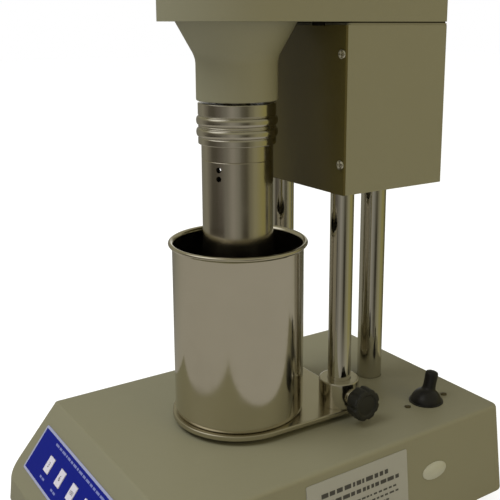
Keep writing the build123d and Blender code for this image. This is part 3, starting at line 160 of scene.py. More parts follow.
def rounded(corners, radius, closed=False, steps=4):
    """A profile with each inner corner turned into an arc: the arc's centre lies on the corner's bisector
    at radius / sin(half angle), its ends at radius / tan(half angle) along the two sides, with one more
    point just outside each end so that smooth shading stays on the arc."""
    corners = [np.array(c, float) for c in corners]
    radii = radius if hasattr(radius, "__len__") else [radius] * len(corners)
    made = []
    for i, corner in enumerate(corners):
        if not closed and i in (0, len(corners) - 1):
            made.append(corner)
            continue
        before, after = corners[i - 1] - corner, corners[(i + 1) % len(corners)] - corner
        room = min(np.linalg.norm(before), np.linalg.norm(after))
        before, after = before / np.linalg.norm(before), after / np.linalg.norm(after)
        half = math.acos(float(np.clip(before @ after, -1, 1))) / 2
        if half > math.radians(88) or radii[i] <= 0:
            made.append(corner)
            continue
        reach = min(radii[i] / math.tan(half), 0.45 * room)
        bend = reach * math.tan(half)
        middle = (before + after) / np.linalg.norm(before + after)
        centre = corner + middle * bend / math.sin(half)
        guard = min(0.25 * reach + 0.02, 0.48 * room - reach) if reach < 0.44 * room else 0
        if guard > 0:
            made.append(corner + before * (reach + guard))
        first, last = corner + before * reach - centre, corner + after * reach - centre
        turn = math.atan2(first[0] * last[1] - first[1] * last[0], first @ last)
        for t in np.linspace(0, 1, steps + 1):
            c, s = math.cos(t * turn), math.sin(t * turn)
            made.append(centre + np.array((first[0] * c - first[1] * s, first[0] * s + first[1] * c)))
        if guard > 0:
            made.append(corner + after * (reach + guard))
    return np.array(made)


def turned(profile, centre=(0.0, ROTOR_Y), steps=144, closed=False):
    """A surface of revolution about an upright line: each (radius, height) of the profile goes round at
    (x + r cos a, y + r sin a, z), and a radius of 0 is one pole point with a fan round it."""
    profile = np.asarray(profile, float)
    angles = np.linspace(0, 2 * math.pi, steps, endpoint=False)
    points, rows = [], []
    for r, z in profile:
        if r < 1e-6:
            rows.append(np.full(steps, len(points)))
            points.append((centre[0], centre[1], z))
        else:
            rows.append(np.arange(steps) + len(points))
            points += at_height(circle(centre, r, angles), z).tolist()
    pairs = list(zip(rows[:-1], rows[1:])) + ([(rows[-1], rows[0])] if closed else [])
    faces = []
    for low, high in pairs:
        quads = np.stack([low, np.roll(low, -1), np.roll(high, -1), high], 1)
        if low[0] == low[1]:
            quads = quads[:, [0, 2, 3]]
        elif high[0] == high[1]:
            quads = quads[:, [0, 1, 2]]
        faces += quads.tolist()
    return np.array(points), faces


def circle(centre, radius, angles):
    """The points at some angles of a circle in a plane."""
    return np.stack([centre[0] + radius * np.cos(angles), centre[1] + radius * np.sin(angles)], 1)


def at_height(outline, z):
    """The points of a flat outline, all at one height."""
    return np.column_stack([outline, np.full(len(outline), z)])


def bands(rows):
    """Four-sided faces between each row of corner numbers and the next one, all the way round."""
    low, high = rows[:-1], rows[1:]
    return np.stack([low, np.roll(low, -1, 1), np.roll(high, -1, 1), high], -1).reshape(-1, 4).tolist()


def capped(rings, ends):
    """A skin over rings of points, closed at each end by a fan round one of the two end points."""
    count = len(rings[0])
    points = np.concatenate([*rings, ends])
    index = np.arange(len(rings) * count).reshape(len(rings), count)
    first, last = np.full(count, len(points) - 2), np.full(count, len(points) - 1)
    faces = bands(index)
    faces += np.stack([np.roll(index[0], -1), index[0], first], 1).tolist()
    faces += np.stack([index[-1], np.roll(index[-1], -1), last], 1).tolist()
    return points, faces


def moved(points, origin, x_dir, y_dir, z_dir):
    """Local points carried to origin + x * x_dir + y * y_dir + z * z_dir."""
    return np.asarray(origin, float) + np.asarray(points, float) @ np.array([x_dir, y_dir, z_dir], float)


def bars(rectangles, origin, x_dir, y_dir, z_dir, height):
    """Printed bars: each rectangle (left, top, width, depth) on a plane is one flat face at a height."""
    points, faces = [], []
    for left, top, width, depth in rectangles:
        start = len(points)
        right, bottom = left + width, top + depth
        points += [(x, y, height) for x, y in ((left, top), (left, bottom), (right, bottom), (right, top))]
        faces.append(list(range(start, start + 4)))
    points = moved(points, origin, x_dir, y_dir, z_dir)
    flat = np.cross(points[1] - points[0], points[2] - points[0])
    if flat @ np.asarray(z_dir, float) < 0:
        faces = [face[::-1] for face in faces]
    return points, faces


def words(text, size, origin, x_dir, y_dir, z_dir, height):
    """The flat mesh of a short number, centred on origin: x_dir along the line, y_dir up the figures."""
    curve = bpy.data.curves.new("figures", "FONT")
    curve.body, curve.size, curve.align_x, curve.align_y = text, size, "CENTER", "CENTER"
    holder = bpy.data.objects.new("figures", curve)
    flat = bpy.data.meshes.new_from_object(holder)
    points = np.zeros(len(flat.vertices) * 3)
    flat.vertices.foreach_get("co", points)
    points = points.reshape(-1, 3)
    points[:, 2] = height
    faces = [list(p.vertices) for p in flat.polygons]
    bpy.data.objects.remove(holder)
    bpy.data.curves.remove(curve)
    bpy.data.meshes.remove(flat)
    return moved(points, origin, x_dir, y_dir, z_dir), faces


# ---- shader groups


def new_group(name, inputs, outputs):
    """An empty shader group with its named sockets: its tree, what comes in and what goes out."""
    kinds = {"Vector": "NodeSocketVector", "Color": "NodeSocketColor"}
    tree = bpy.data.node_groups.new(name, "ShaderNodeTree")
    for way, labels in (("INPUT", inputs), ("OUTPUT", outputs)):
        for label in labels:
            kind = kinds.get(label, "NodeSocketFloat")
            tree.interface.new_socket(name=label, in_out=way, socket_type=kind)
    given, out = tree.nodes.new("NodeGroupInput"), tree.nodes.new("NodeGroupOutput")
    return tree, given.outputs, out.inputs


def feed(tree, value, socket):
    """A plain value, or the output of another node, put on an input."""
    if isinstance(value, bpy.types.NodeSocket):
        tree.links.new(value, socket)
    else:
        socket.default_value = value


def math_node(tree, kind, first, second=None, clamp=False):
    """A math node whose inputs are sockets or plain numbers."""
    made = tree.nodes.new("ShaderNodeMath")
    made.operation = kind
    made.use_clamp = clamp
    for place, value in enumerate((first, second)):
        if value is not None:
            feed(tree, value, made.inputs[place])
    return made.outputs[0]


def rise_from(tree, value, start, gain):
    """The distance past start times gain, kept between 0 and 1."""
    return math_node(tree, "MULTIPLY", math_node(tree, "SUBTRACT", value, start), gain, clamp=True)


def split(tree, vector):
    """The X, Y and Z outputs of a vector."""
    made = tree.nodes.new("ShaderNodeSeparateXYZ")
    tree.links.new(vector, made.inputs[0])
    return made.outputs


def along(tree, vector, direction):
    """A vector's length along a direction, which is their dot product."""
    made = tree.nodes.new("ShaderNodeVectorMath")
    made.operation = "DOT_PRODUCT"
    made.inputs[1].default_value = direction
    tree.links.new(vector, made.inputs[0])
    return made.outputs["Value"]


def blend(tree, share, first, second):
    """The first colour where share is 0 and the second where it is 1."""
    mix = tree.nodes.new("ShaderNodeMix")
    mix.data_type = "RGBA"
    for label, value in (("Factor", share), ("A", first), ("B", second)):
        feed(tree, value, mix.inputs[label])
    return mix.outputs["Result"]


def noise_node(tree, vector, scale, detail=2.0, roughness=0.5):
    """A noise texture over a vector; scale is a number or a socket."""
    made = tree.nodes.new("ShaderNodeTexNoise")
    made.inputs["Detail"].default_value = detail
    made.inputs["Roughness"].default_value = roughness
    tree.links.new(vector, made.inputs["Vector"])
    feed(tree, scale, made.inputs["Scale"])
    return made.outputs["Fac"]


def tone_group():
    """Cloudy tone: the colour is multiplied by 1 plus spread times a soft noise from -1 to 1."""
    tree, given, out = new_group("cloudy_tone", ["Vector", "Color", "Scale", "Spread"], ["Color"])
    cloud = noise_node(tree, given["Vector"], given["Scale"], 4.0, 0.55)
    swing = math_node(tree, "SUBTRACT", math_node(tree, "MULTIPLY", cloud, 2.0), 1.0)
    factor = math_node(tree, "ADD", math_node(tree, "MULTIPLY", swing, given["Spread"]), 1.0)
    mix = tree.nodes.new("ShaderNodeVectorMath")
    mix.operation = "SCALE"
    tree.links.new(given["Color"], mix.inputs[0])
    tree.links.new(factor, mix.inputs["Scale"])
    tree.links.new(mix.outputs[0], out["Color"])
    return tree


def skin_group():
    """Sprayed or moulded skin: soft dimples from one noise and fine grain from another, as a height."""
    tree, given, out = new_group("fine_skin", ["Vector", "Dimples", "Grain", "Grain Share"], ["Height"])
    dimples = noise_node(tree, given["Vector"], given["Dimples"], 1.0)
    grain = noise_node(tree, given["Vector"], given["Grain"], 2.0)
    share = math_node(tree, "MULTIPLY", grain, given["Grain Share"])
    tree.links.new(math_node(tree, "ADD", dimples, share), out["Height"])
    return tree


def lathe_group():
    """Turning marks: noise stretched round the axis, so that it changes with the height above all."""
    tree, given, out = new_group("turning_marks", ["Vector", "Lines", "Stretch"], ["Height", "Mask"])
    parts = split(tree, given["Vector"])
    joined_up = tree.nodes.new("ShaderNodeCombineXYZ")
    for axis in ("X", "Y"):
        shrunk = math_node(tree, "MULTIPLY", parts[axis], given["Stretch"])
        tree.links.new(shrunk, joined_up.inputs[axis])
    tree.links.new(parts["Z"], joined_up.inputs["Z"])
    lines = noise_node(tree, joined_up.outputs[0], given["Lines"], 2.0)
    broad_scale = math_node(tree, "MULTIPLY", given["Lines"], 0.08)
    broad = noise_node(tree, joined_up.outputs[0], broad_scale, 2.0)
    tree.links.new(lines, out["Height"])
    tree.links.new(broad, out["Mask"])
    return tree


def handled_group():
    """Handling marks: the roughness goes up inside soft smudges."""
    inputs = ["Vector", "Roughness", "Smudges", "Scale"]
    tree, given, out = new_group("handling_marks", inputs, ["Roughness"])
    cloud = noise_node(tree, given["Vector"], given["Scale"], 5.0, 0.6)
    lift = math_node(tree, "MULTIPLY", rise_from(tree, cloud, 0.45, 4.0), given["Smudges"])
    tree.links.new(math_node(tree, "ADD", given["Roughness"], lift), out["Roughness"])
    return tree


TONE, SKIN, LATHE, HANDLED = tone_group(), skin_group(), lathe_group(), handled_group()


def srgb(red, green, blue):
    """A colour written as 0 to 255 screen values, as the linear colour that the shader takes."""
    values = np.array((red, green, blue)) / 255
    linear = np.where(values <= 0.04045, values / 12.92, ((values + 0.055) / 1.055) ** 2.4)
    return (*linear.tolist(), 1.0)


def blank(name, metallic=0.0, roughness=0.5, **plain):
    """A material with its own Principled shader, and the Object coordinates that its patterns read."""
    material = bpy.data.materials.new(name)
    material.use_nodes = True
    tree = material.node_tree
    shader = tree.nodes["Principled BSDF"]
    shader.inputs["Metallic"].default_value = metallic
    shader.inputs["Roughness"].default_value = roughness
    for label, value in plain.items():
        shader.inputs[label.replace("_", " ")].default_value = value
    coordinates = tree.nodes.new("ShaderNodeTexCoord")
    return material, tree, shader, coordinates.outputs["Object"]


def use(tree, group, vector, **values):
    """A group placed in a material, with its own plain values."""
    made = tree.nodes.new("ShaderNodeGroup")
    made.node_tree = group
    tree.links.new(vector, made.inputs["Vector"])
    for label, value in values.items():
        made.inputs[label.replace("_", " ")].default_value = value
    return made


def bump(tree, shader, height, distance):
    """A height fed to the shader's normal through a Bump node; distance is in metres."""
    made = tree.nodes.new("ShaderNodeBump")
    made.inputs["Strength"].default_value = 1.0
    made.inputs["Distance"].default_value = distance
    tree.links.new(height, made.inputs["Height"])
    tree.links.new(made.outputs[0], shader.inputs["Normal"])


def tinted(tree, shader, place, colour, scale, spread):
    """A cloudy tone on the base colour."""
    tone = use(tree, TONE, place, Color=colour, Scale=scale, Spread=spread)
    tree.links.new(tone.outputs["Color"], shader.inputs["Base Color"])


def worn(tree, shader, place, roughness, smudges, scale):
    """Handling marks in the gloss."""
    marks = use(tree, HANDLED, place, Roughness=roughness, Smudges=smudges, Scale=scale)
    tree.links.new(marks.outputs["Roughness"], shader.inputs["Roughness"])


def skinned(tree, shader, place, dimples, grain, share, depth):
    """A fine skin on the surface; depth is in metres."""
    skin = use(tree, SKIN, place, Dimples=dimples, Grain=grain, Grain_Share=share)
    bump(tree, shader, skin.outputs["Height"], depth)


def painted(name, colour, roughness, spread=0.03, dimple_depth=0.00003):
    """Sprayed enamel: a near-even colour, soft orange peel and slightly uneven gloss."""
    material, tree, shader, place = blank(name, roughness=roughness, Specular_IOR_Level=0.4)
    tinted(tree, shader, place, colour, 14.0, spread)
    worn(tree, shader, place, roughness, 0.07, 30.0)
    skinned(tree, shader, place, 650.0, 3200.0, 0.15, dimple_depth)
    return material


def turned_metal(name, colour, roughness, line_depth, lines=5200.0, smudges=0.06, spread=0.04):
    """Turned and polished metal: fine lines round the axis and handling marks in the gloss."""
    material, tree, shader, place = blank(name, metallic=1.0, roughness=roughness)
    tinted(tree, shader, place, colour, 35.0, spread)
    marks = use(tree, HANDLED, place, Roughness=roughness, Smudges=smudges, Scale=60.0)
    lathe = use(tree, LATHE, place, Lines=lines, Stretch=0.012)
    streak = math_node(tree, "MULTIPLY", lathe.outputs["Mask"], 0.05)
    uneven = math_node(tree, "ADD", marks.outputs["Roughness"], streak)
    tree.links.new(uneven, shader.inputs["Roughness"])
    bump(tree, shader, lathe.outputs["Height"], line_depth)
    return material


def milled_metal(name, colour, roughness):
    """Rolled, milled or plated metal: a grain stretched one way, and a tone that clouds a little."""
    material, tree, shader, place = blank(name, metallic=1.0, roughness=roughness)
    tinted(tree, shader, place, colour, 90.0, 0.08)
    worn(tree, shader, place, roughness, 0.12, 80.0)
    stretch = tree.nodes.new("ShaderNodeMapping")
    stretch.inputs["Scale"].default_value = (0.08, 1.0, 1.0)
    tree.links.new(place, stretch.inputs["Vector"])
    bump(tree, shader, noise_node(tree, stretch.outputs[0], 900.0, 3.0), 0.00001)
    return material


def moulded(name, colour, roughness, depth=0.00002, spread=0.06, smudges=0.1):
    """Moulded plastic or rubber: a fine skin, cloudy tone and gloss that varies with handling."""
    material, tree, shader, place = blank(name, roughness=roughness)
    tinted(tree, shader, place, colour, 60.0, spread)
    worn(tree, shader, place, roughness, smudges, 70.0)
    skinned(tree, shader, place, 900.0, 4200.0, 0.5, depth)
    return material


def band_mask(tree, value, centre, half):
    """1 where the value is within half of centre, with a crisp edge."""
    away = math_node(tree, "ABSOLUTE", math_node(tree, "SUBTRACT", value, centre))
    return math_node(tree, "LESS_THAN", away, half)


def key_film():
    """Printed key panel: a blue field inside a pale outline, told apart by their place on the slope."""
    material, tree, shader, place = blank("key_film", roughness=0.36, Specular_IOR_Level=0.12)
    from_edge = tree.nodes.new("ShaderNodeMapping")
    from_edge.inputs["Location"].default_value = (0.0, -SLOPE_TOP_Y * MM, -TOP_Z * MM)
    tree.links.new(place, from_edge.inputs["Vector"])
    down = along(tree, from_edge.outputs[0], SLOPE_DOWN.tolist())
    half_width, middle_down, half_down = 0.0688, 0.02715, 0.01275
    inside_x = band_mask(tree, split(tree, from_edge.outputs[0])["X"], 0.0, half_width)
    inside = math_node(tree, "MULTIPLY", inside_x, band_mask(tree, down, middle_down, half_down))
    blue = use(tree, TONE, place, Color=srgb(8, 22, 118), Scale=26.0, Spread=0.1)
    field = blend(tree, inside, srgb(150, 152, 178), blue.outputs["Color"])
    tree.links.new(field, shader.inputs["Base Color"])
    skinned(tree, shader, place, 380.0, 2600.0, 0.3, 0.00001)
    return material


def inlet_plastic():
    """Black moulding whose three pins, told apart by their place inside the mouth, are bright metal."""
    material, tree, shader, place = blank("inlet_plastic", roughness=0.42)
    parts = split(tree, place)
    middle_x, half_x, middle_y, half_y, middle_z, half_z = -0.03, 0.0083, 0.12325, 0.00605, 0.0362, 0.0068
    pins = math_node(tree, "MULTIPLY", band_mask(tree, parts["X"], middle_x, half_x),
                     band_mask(tree, parts["Z"], middle_z, half_z))
    pins = math_node(tree, "MULTIPLY", pins, band_mask(tree, parts["Y"], middle_y, half_y))
    tone = use(tree, TONE, place, Color=srgb(28, 28, 29), Scale=60.0, Spread=0.1)
    both = blend(tree, pins, tone.outputs["Color"], srgb(206, 198, 170))
    tree.links.new(both, shader.inputs["Base Color"])
    tree.links.new(pins, shader.inputs["Metallic"])
    skinned(tree, shader, place, 900.0, 4200.0, 0.5, 0.00002)
    return material


def board_lacquer():
    """Circuit board: green lacquer over small square tracks, from the distance in a cell pattern."""
    material, tree, shader, place = blank("board_lacquer", roughness=0.35)
    cells = tree.nodes.new("ShaderNodeTexVoronoi")
    cells.distance = "CHEBYCHEV"
    cells.inputs["Scale"].default_value = 220.0
    tree.links.new(place, cells.inputs["Vector"])
    tracks = math_node(tree, "LESS_THAN", cells.outputs["Distance"], 0.32)
    greens = blend(tree, tracks, srgb(22, 78, 48), srgb(40, 112, 70))
    tree.links.new(greens, shader.inputs["Base Color"])
    bump(tree, shader, tracks, 0.00005)
    return material


def laminated_iron():
    """Stacked iron sheets: fine upright layer lines in the height, over a cloudy dark tone."""
    material, tree, shader, place = blank("laminated_iron", metallic=0.7, roughness=0.5)
    tinted(tree, shader, place, srgb(92, 88, 84), 70.0, 0.15)
    layers = tree.nodes.new("ShaderNodeTexWave")
    layers.bands_direction = "Y"
    layers.inputs["Scale"].default_value = 300.0
    tree.links.new(place, layers.inputs["Vector"])
    bump(tree, shader, layers.outputs["Fac"], 0.0001)
    return material


def clear_lens():
    """Clear lens: plain glass with a faint bloom in its gloss."""
    material, tree, shader, place = blank("clear_lens", roughness=0.03, Transmission_Weight=1.0, IOR=1.5)
    shader.inputs["Base Color"].default_value = (0.93, 0.96, 0.96, 1)
    worn(tree, shader, place, 0.02, 0.03, 90.0)
    return material


paint = painted("bench_enamel", srgb(124, 120, 97), 0.46)
# The motor cover's dark olive colour is partly a dark plate and partly painted shade, from the head and
# neck above it.
dark_and_shaded_enamel = painted("dark_and_shaded_enamel", srgb(74, 65, 27), 0.3, spread=0.08, dimple_depth=0.00002)
chrome = turned_metal("polished_chrome", srgb(205, 202, 192), 0.07, 0.0000012, smudges=0.05, spread=0.02)
sleeve_steel = turned_metal("turned_sleeve_steel", srgb(198, 192, 178), 0.14, 0.000004)
collar_steel = turned_metal("turned_collar_steel", srgb(200, 195, 182), 0.13, 0.000004, lines=3000.0)
cup_steel = turned_metal("drawn_cup_steel", srgb(208, 202, 186), 0.08, 0.000002, lines=2600.0, smudges=0.07)
stage_steel = turned_metal("stage_steel", srgb(196, 190, 172), 0.2, 0.000004, lines=2600.0)
zinc = milled_metal("zinc_plate", srgb(176, 174, 166), 0.34)
aluminium = milled_metal("milled_aluminium", srgb(190, 190, 188), 0.36)
brass = milled_metal("bare_brass", srgb(190, 158, 92), 0.3)
black_rubber = moulded("black_rubber", srgb(22, 21, 20), 0.5, depth=0.00003, smudges=0.15)
boot_rubber = moulded("boot_rubber", srgb(14, 13, 14), 0.36, depth=0.00002, smudges=0.14)
knob_plastic = moulded("knob_plastic", srgb(27, 27, 24), 0.4, depth=0.00004, smudges=0.12)
belt_rubber = moulded("belt_rubber", srgb(30, 29, 28), 0.6)
key_plastic = moulded("key_plastic", srgb(205, 200, 210), 0.38, depth=0.00001, spread=0.02)
label_film = moulded("label_film", srgb(148, 146, 138), 0.42, depth=0.00001, spread=0.03)
sticker_film = moulded("sticker_film", srgb(166, 164, 148), 0.36, depth=0.00001, spread=0.04)
print_ink = moulded("print_ink", srgb(58, 55, 52), 0.5, spread=0.1)
pale_ink = moulded("pale_ink", srgb(112, 118, 170), 0.45, spread=0.1)
dial_card = moulded("dial_card", srgb(226, 224, 216), 0.5, spread=0.02)
lead_sheath = moulded("lead_sheath", srgb(34, 33, 33), 0.5)
# Dark steel for the chassis screws under the head: their darkness is painted shade, matching the shadow
# they sit in.
shade_darkened = milled_metal("shade_darkened_steel", srgb(38, 36, 32), 0.5)
bright_zinc = milled_metal("bright_zinc", srgb(214, 210, 196), 0.22)
dull_zinc = milled_metal("dull_zinc", srgb(104, 96, 74), 0.42)
# The seal strip's olive-dark colour is partly the seal's own and partly painted shade of the groove under
# the head.
seal_groove_shade = moulded("seal_groove_shade", srgb(52, 48, 30), 0.6)
film = key_film()
inlet = inlet_plastic()
board = board_lacquer()
iron = laminated_iron()
glass = clear_lens()

# Which nodes wear which finish; the six keys, which aren't listed, wear key_plastic.
wearers = (
    (paint, "base_housing head_cover motor_housing neck_housing"),
    (dark_and_shaded_enamel, "motor_cover"),
    (chrome, "column_left column_right column_rear window_bezel top_cap"),
    (sleeve_steel, "spindle rotor_sleeve bob bob_shaft"),
    (collar_steel, "ring_collar guide_collar_left guide_collar_right"),
    (cup_steel, "sample_cup"),
    (stage_steel, "stage_plate"),
    (zinc, "bottom_plate base_fasteners anchor_plate column_fasteners toggle_screws cover_screws"),
    (zinc, "spindle_bearings shaft_bearings motor torsion_spring clamp_screw"),
    (aluminium, "chassis_plate spindle_pulley motor_pulley dial_bridge"),
    (shade_darkened, "chassis_screws"),
    (brass, "index_pointer"),
    (black_rubber, "rubber_feet head_gasket"),
    (boot_rubber, "toggle_boot toggle_lever"),
    (belt_rubber, "timing_belt"),
    (lead_sheath, "motor_lead"),
    (knob_plastic, "fuse_holder toggle_body clamp_knob"),
    (inlet, "power_inlet"),
    (film, "key_panel"),
    (label_film, "side_label"),
    (sticker_film, "oval_sticker"),
    (dial_card, "dial"),
    (board, "key_board control_board"),
    (iron, "transformer"),
    (glass, "window_lens"),
)
finish_of = {name: finish for finish, names in wearers for name in names.split()}
for name, node in nodes.items():
    node.data.materials.clear()
    node.data.materials.append(finish_of.get(name, key_plastic))


# ---- pieces


def neck():
    """The flared neck: its profile of corners, softened, goes round the rotor's axis."""
    corners = [
        (NECK_BORE, NECK_BOTTOM), (NECK_RADIUS, NECK_BOTTOM), (NECK_RADIUS, NECK_FLARE),
        (NECK_HEAD_RADIUS, HEAD_BOTTOM), (NECK_SEAT, HEAD_BOTTOM), (NECK_SEAT, NECK_LEDGE),
        (NECK_BORE, NECK_LEDGE),
    ]
    profile = rounded(corners, [0.2, 0.7, 14.0, 0.1, 0.1, 0.1, 0.1], closed=True, steps=6)
    put_mesh("neck_casting", *turned(profile, closed=True), paint, "root", stands_for=["neck_housing"])


def cup():
    """The sample cup: rounded foot, straight wall, rolled rim and the inside, round the rotor's axis."""
    bead_z = STAGE_TOP + CUP_HEIGHT - BEAD_RADIUS
    floor_z = STAGE_TOP + CUP_FLOOR
    foot_radius, foot_rise, under_bead = 37.4, 3.4, 2.4
    outside = [(0, STAGE_TOP), (foot_radius, STAGE_TOP), (CUP_RADIUS, STAGE_TOP + foot_rise),
               (CUP_RADIUS, bead_z - under_bead)]
    lip_radius, lip_rise, lip_fall = 37.5, 0.4, 0.6
    inside = [(lip_radius, bead_z + lip_rise), (CUP_BORE, bead_z - lip_fall), (CUP_BORE, floor_z),
              (0, floor_z)]
    profile = np.concatenate([
        rounded(outside, [0, 1.8, 1.2, 0]),
        circle((BEAD_CENTRE, bead_z), BEAD_RADIUS, np.radians(np.linspace(245, 480, 16))),
        rounded(inside, [0, 0.6, 2.4, 0]),
    ])
    put_mesh("drawn_cup", *turned(profile, steps=180), cup_steel, "cup", stands_for=["sample_cup"])


def ring_collar():
    """The collar over the sleeve: its edges rolled over, and two raised rings, each the upper half of an
    ellipse in the profile with a narrow bell-shaped groove on either side."""
    socket_top = COLLAR_BOTTOM + SOCKET_DEPTH
    corners = [
        (SOCKET_RADIUS, COLLAR_BOTTOM), (COLLAR_RADIUS, COLLAR_BOTTOM), (COLLAR_RADIUS, COLLAR_TOP),
        (COLLAR_BORE, COLLAR_TOP), (COLLAR_BORE, socket_top), (SOCKET_RADIUS, socket_top),
    ]
    plain = rounded(corners, [0.15, 0.5, 0.5, 0.1, 0.1, 0.1], closed=True)
    outer = plain[:, 0] > COLLAR_RADIUS - 0.01
    lower = plain[:, 1] < (COLLAR_BOTTOM + COLLAR_TOP) / 2
    margin, groove_depth, groove_off, groove_half = 1.2, 0.3, 0.45, 0.35
    heights = np.linspace(COLLAR_BOTTOM + margin, COLLAR_TOP - margin, 150)
    radii = np.full(len(heights), COLLAR_RADIUS)
    for down in RING_DOWNS:
        away = np.abs(heights - (COLLAR_TOP - down))
        bulge = RING_RISE * np.sqrt(np.clip(1 - (away / RING_HALF) ** 2, 0, 1))
        radii = np.where(away < RING_HALF, COLLAR_RADIUS + bulge, radii)
        radii = radii - groove_depth * np.exp(-(((away - RING_HALF - groove_off) / groove_half) ** 2))
    last_low = np.max(np.nonzero(outer & lower)[0])
    profile = np.concatenate([plain[:last_low + 1], np.stack([radii, heights], 1), plain[last_low + 1:]])
    piece = put_mesh(
        "ringed_collar", *turned(profile, steps=180, closed=True), collar_steel, "rotor",
        stands_for=["ring_collar"],
    )


def scallops(angles, radius, count, depth, cut):
    """The knob's outline: the smaller of the full radius and the near side of a ring of cutting circles,
    blended where they meet."""
    pitch = 2 * math.pi / count
    away = (angles + pitch / 2) % pitch - pitch / 2
    far = radius + cut - depth
    under = cut ** 2 - (far * np.sin(away)) ** 2
    bite = np.where(under > 0, far * np.cos(away) - np.sqrt(np.maximum(under, 0)), radius)
    soft = 0.35
    mix = np.clip(0.5 + (bite - radius) / (2 * soft), 0, 1)
    return bite * (1 - mix) + radius * mix - soft * mix * (1 - mix)


def knob():
    """The clamp knob: scalloped rings along +X with rolled edges, a dished face and a round neck."""
    steps = 160
    angles = np.linspace(0, 2 * math.pi, steps, endpoint=False)
    cut = KNOB_RADIUS * math.sin(math.pi / KNOB_FLUTES) * 0.55
    outline = scallops(angles, KNOB_RADIUS, KNOB_FLUTES, KNOB_FLUTE_DEPTH, cut)
    neck_radius, dish_rim, dish_foot = (share * KNOB_RADIUS for share in (0.515, 0.72, 0.6))
    dish_depth, hub_depth = 0.7, 0.5
    section = [
        (0, -KNOB_NECK_LENGTH), (neck_radius, -KNOB_NECK_LENGTH), (neck_radius, 0), (KNOB_RADIUS, 0),
        (KNOB_RADIUS, KNOB_DEPTH), (dish_rim, KNOB_DEPTH), (dish_foot, KNOB_DEPTH - dish_depth),
        (0, KNOB_DEPTH - hub_depth),
    ]
    flute_from, flute_over = 0.6, 0.3
    rings = []
    for r, x in rounded(section, [0, 0.4, 0.5, 0.7, 1.4, 0.5, 0.8, 0], steps=6):
        flute = np.clip((r / KNOB_RADIUS - flute_from) / flute_over, 0, 1)
        radius = r * (1 - flute) + r / KNOB_RADIUS * outline * flute
        ring = circle((COLUMN_Y, CLAMP_Z), radius, angles)
        rings.append(np.column_stack([np.full(steps, KNOB_BACK + x), ring]))
    skin = capped(rings[1:-1], [rings[0][0], rings[-1][0]])
    put_mesh("fluted_knob", *skin, knob_plastic, "clamp", stands_for=["clamp_knob"])


def boot():
    """The switch's rubber boot: a ball over the switch drawn up into a leaning stem with a rounded tip,
    as a profile of radius against distance up the lever's own line, turned about that line."""
    foot, shoulder = -3.2, 28.5
    angles = np.radians(np.linspace(math.degrees(math.acos(foot / BOOT_BALL)), shoulder, 30))
    dome = [(BOOT_BALL * math.sin(a), BOOT_BALL * math.cos(a)) for a in angles]
    stem = [
        (4.45, 9.12), (4.2, 9.6), (4.05, 10.4), (3.95, 11.6), (3.9, 13.4), (3.92, 15.4), (4.0, 17.2),
        (4.02, 18.6), (3.85, 19.7), (3.3, 20.35), (2.3, 20.75), (1.1, 20.92), (0, 20.95),
    ]
    points, faces = turned(dome + stem, centre=(0, 0), steps=72)
    up = np.array((0, math.sin(TOGGLE_LEAN), math.cos(TOGGLE_LEAN)))
    side = np.array((1.0, 0, 0))
    points = moved(points, TOGGLE, side, np.cross(up, side), up)
    hidden = ["toggle_boot", "toggle_lever"]
    put_mesh("switch_boot", points, faces, boot_rubber, "toggle", stands_for=hidden)
    # The boot's flange: a low ring on the base's top, as (radius, height over the top).
    flange = [(9.4, 0), (10.6, 0), (10.6, 0.6), (9.8, 0.8), (9.4, 0.5)]
    lip = rounded([(r, TOP_Z + z) for r, z in flange], 0.3, closed=True)
    put_mesh("boot_lip", *turned(lip, centre=TOGGLE[:2], steps=72, closed=True), boot_rubber, "root")


def stage_outline(inset):
    """The stage plate's rim moved in by inset: the hull of the cup's circle and the two collars' circles,
    as three arcs whose ends share one tangent direction."""
    big, small = STAGE_RADIUS - inset, GUIDE_RADIUS - inset
    reach = math.hypot(COLUMN_X, COLUMN_Y - ROTOR_Y)
    facing = math.atan2(COLUMN_Y - ROTOR_Y, COLUMN_X)
    right = facing - math.acos((STAGE_RADIUS - GUIDE_RADIUS) / reach)
    arcs = [
        ((0, ROTOR_Y), big, math.pi - right, 2 * math.pi + right, 150),
        ((COLUMN_X, COLUMN_Y), small, right, math.pi / 2, 40),
        ((-COLUMN_X, COLUMN_Y), small, math.pi / 2, math.pi - right, 40),
    ]
    rim = []
    for centre, radius, first, last, steps in arcs:
        rim.append(circle(centre, radius, np.linspace(first, last, steps)))
    return np.concatenate(rim)


def stage():
    """The stage plate: its rim carried up a rounded edge profile, with a flat face above and below."""
    low, high, edge = STAGE_TOP - STAGE_THICKNESS, STAGE_TOP, STAGE_EDGE
    flat_from = edge + 0.5
    turns = np.linspace(0, math.pi / 2, 5)
    levels = [(flat_from, low)]
    levels += [(edge * (1 - math.sin(t)), low + edge * (1 - math.cos(t))) for t in turns]
    levels += [(edge * (1 - math.cos(t)), high - edge * (1 - math.sin(t))) for t in turns]
    levels += [(flat_from, high)]
    rings = [at_height(stage_outline(inset), z) for inset, z in levels]
    slab = capped(rings, [(0, ROTOR_Y, low), (0, ROTOR_Y, high)])
    put_mesh("stage_slab", *slab, stage_steel, "stage", stands_for=["stage_plate"])


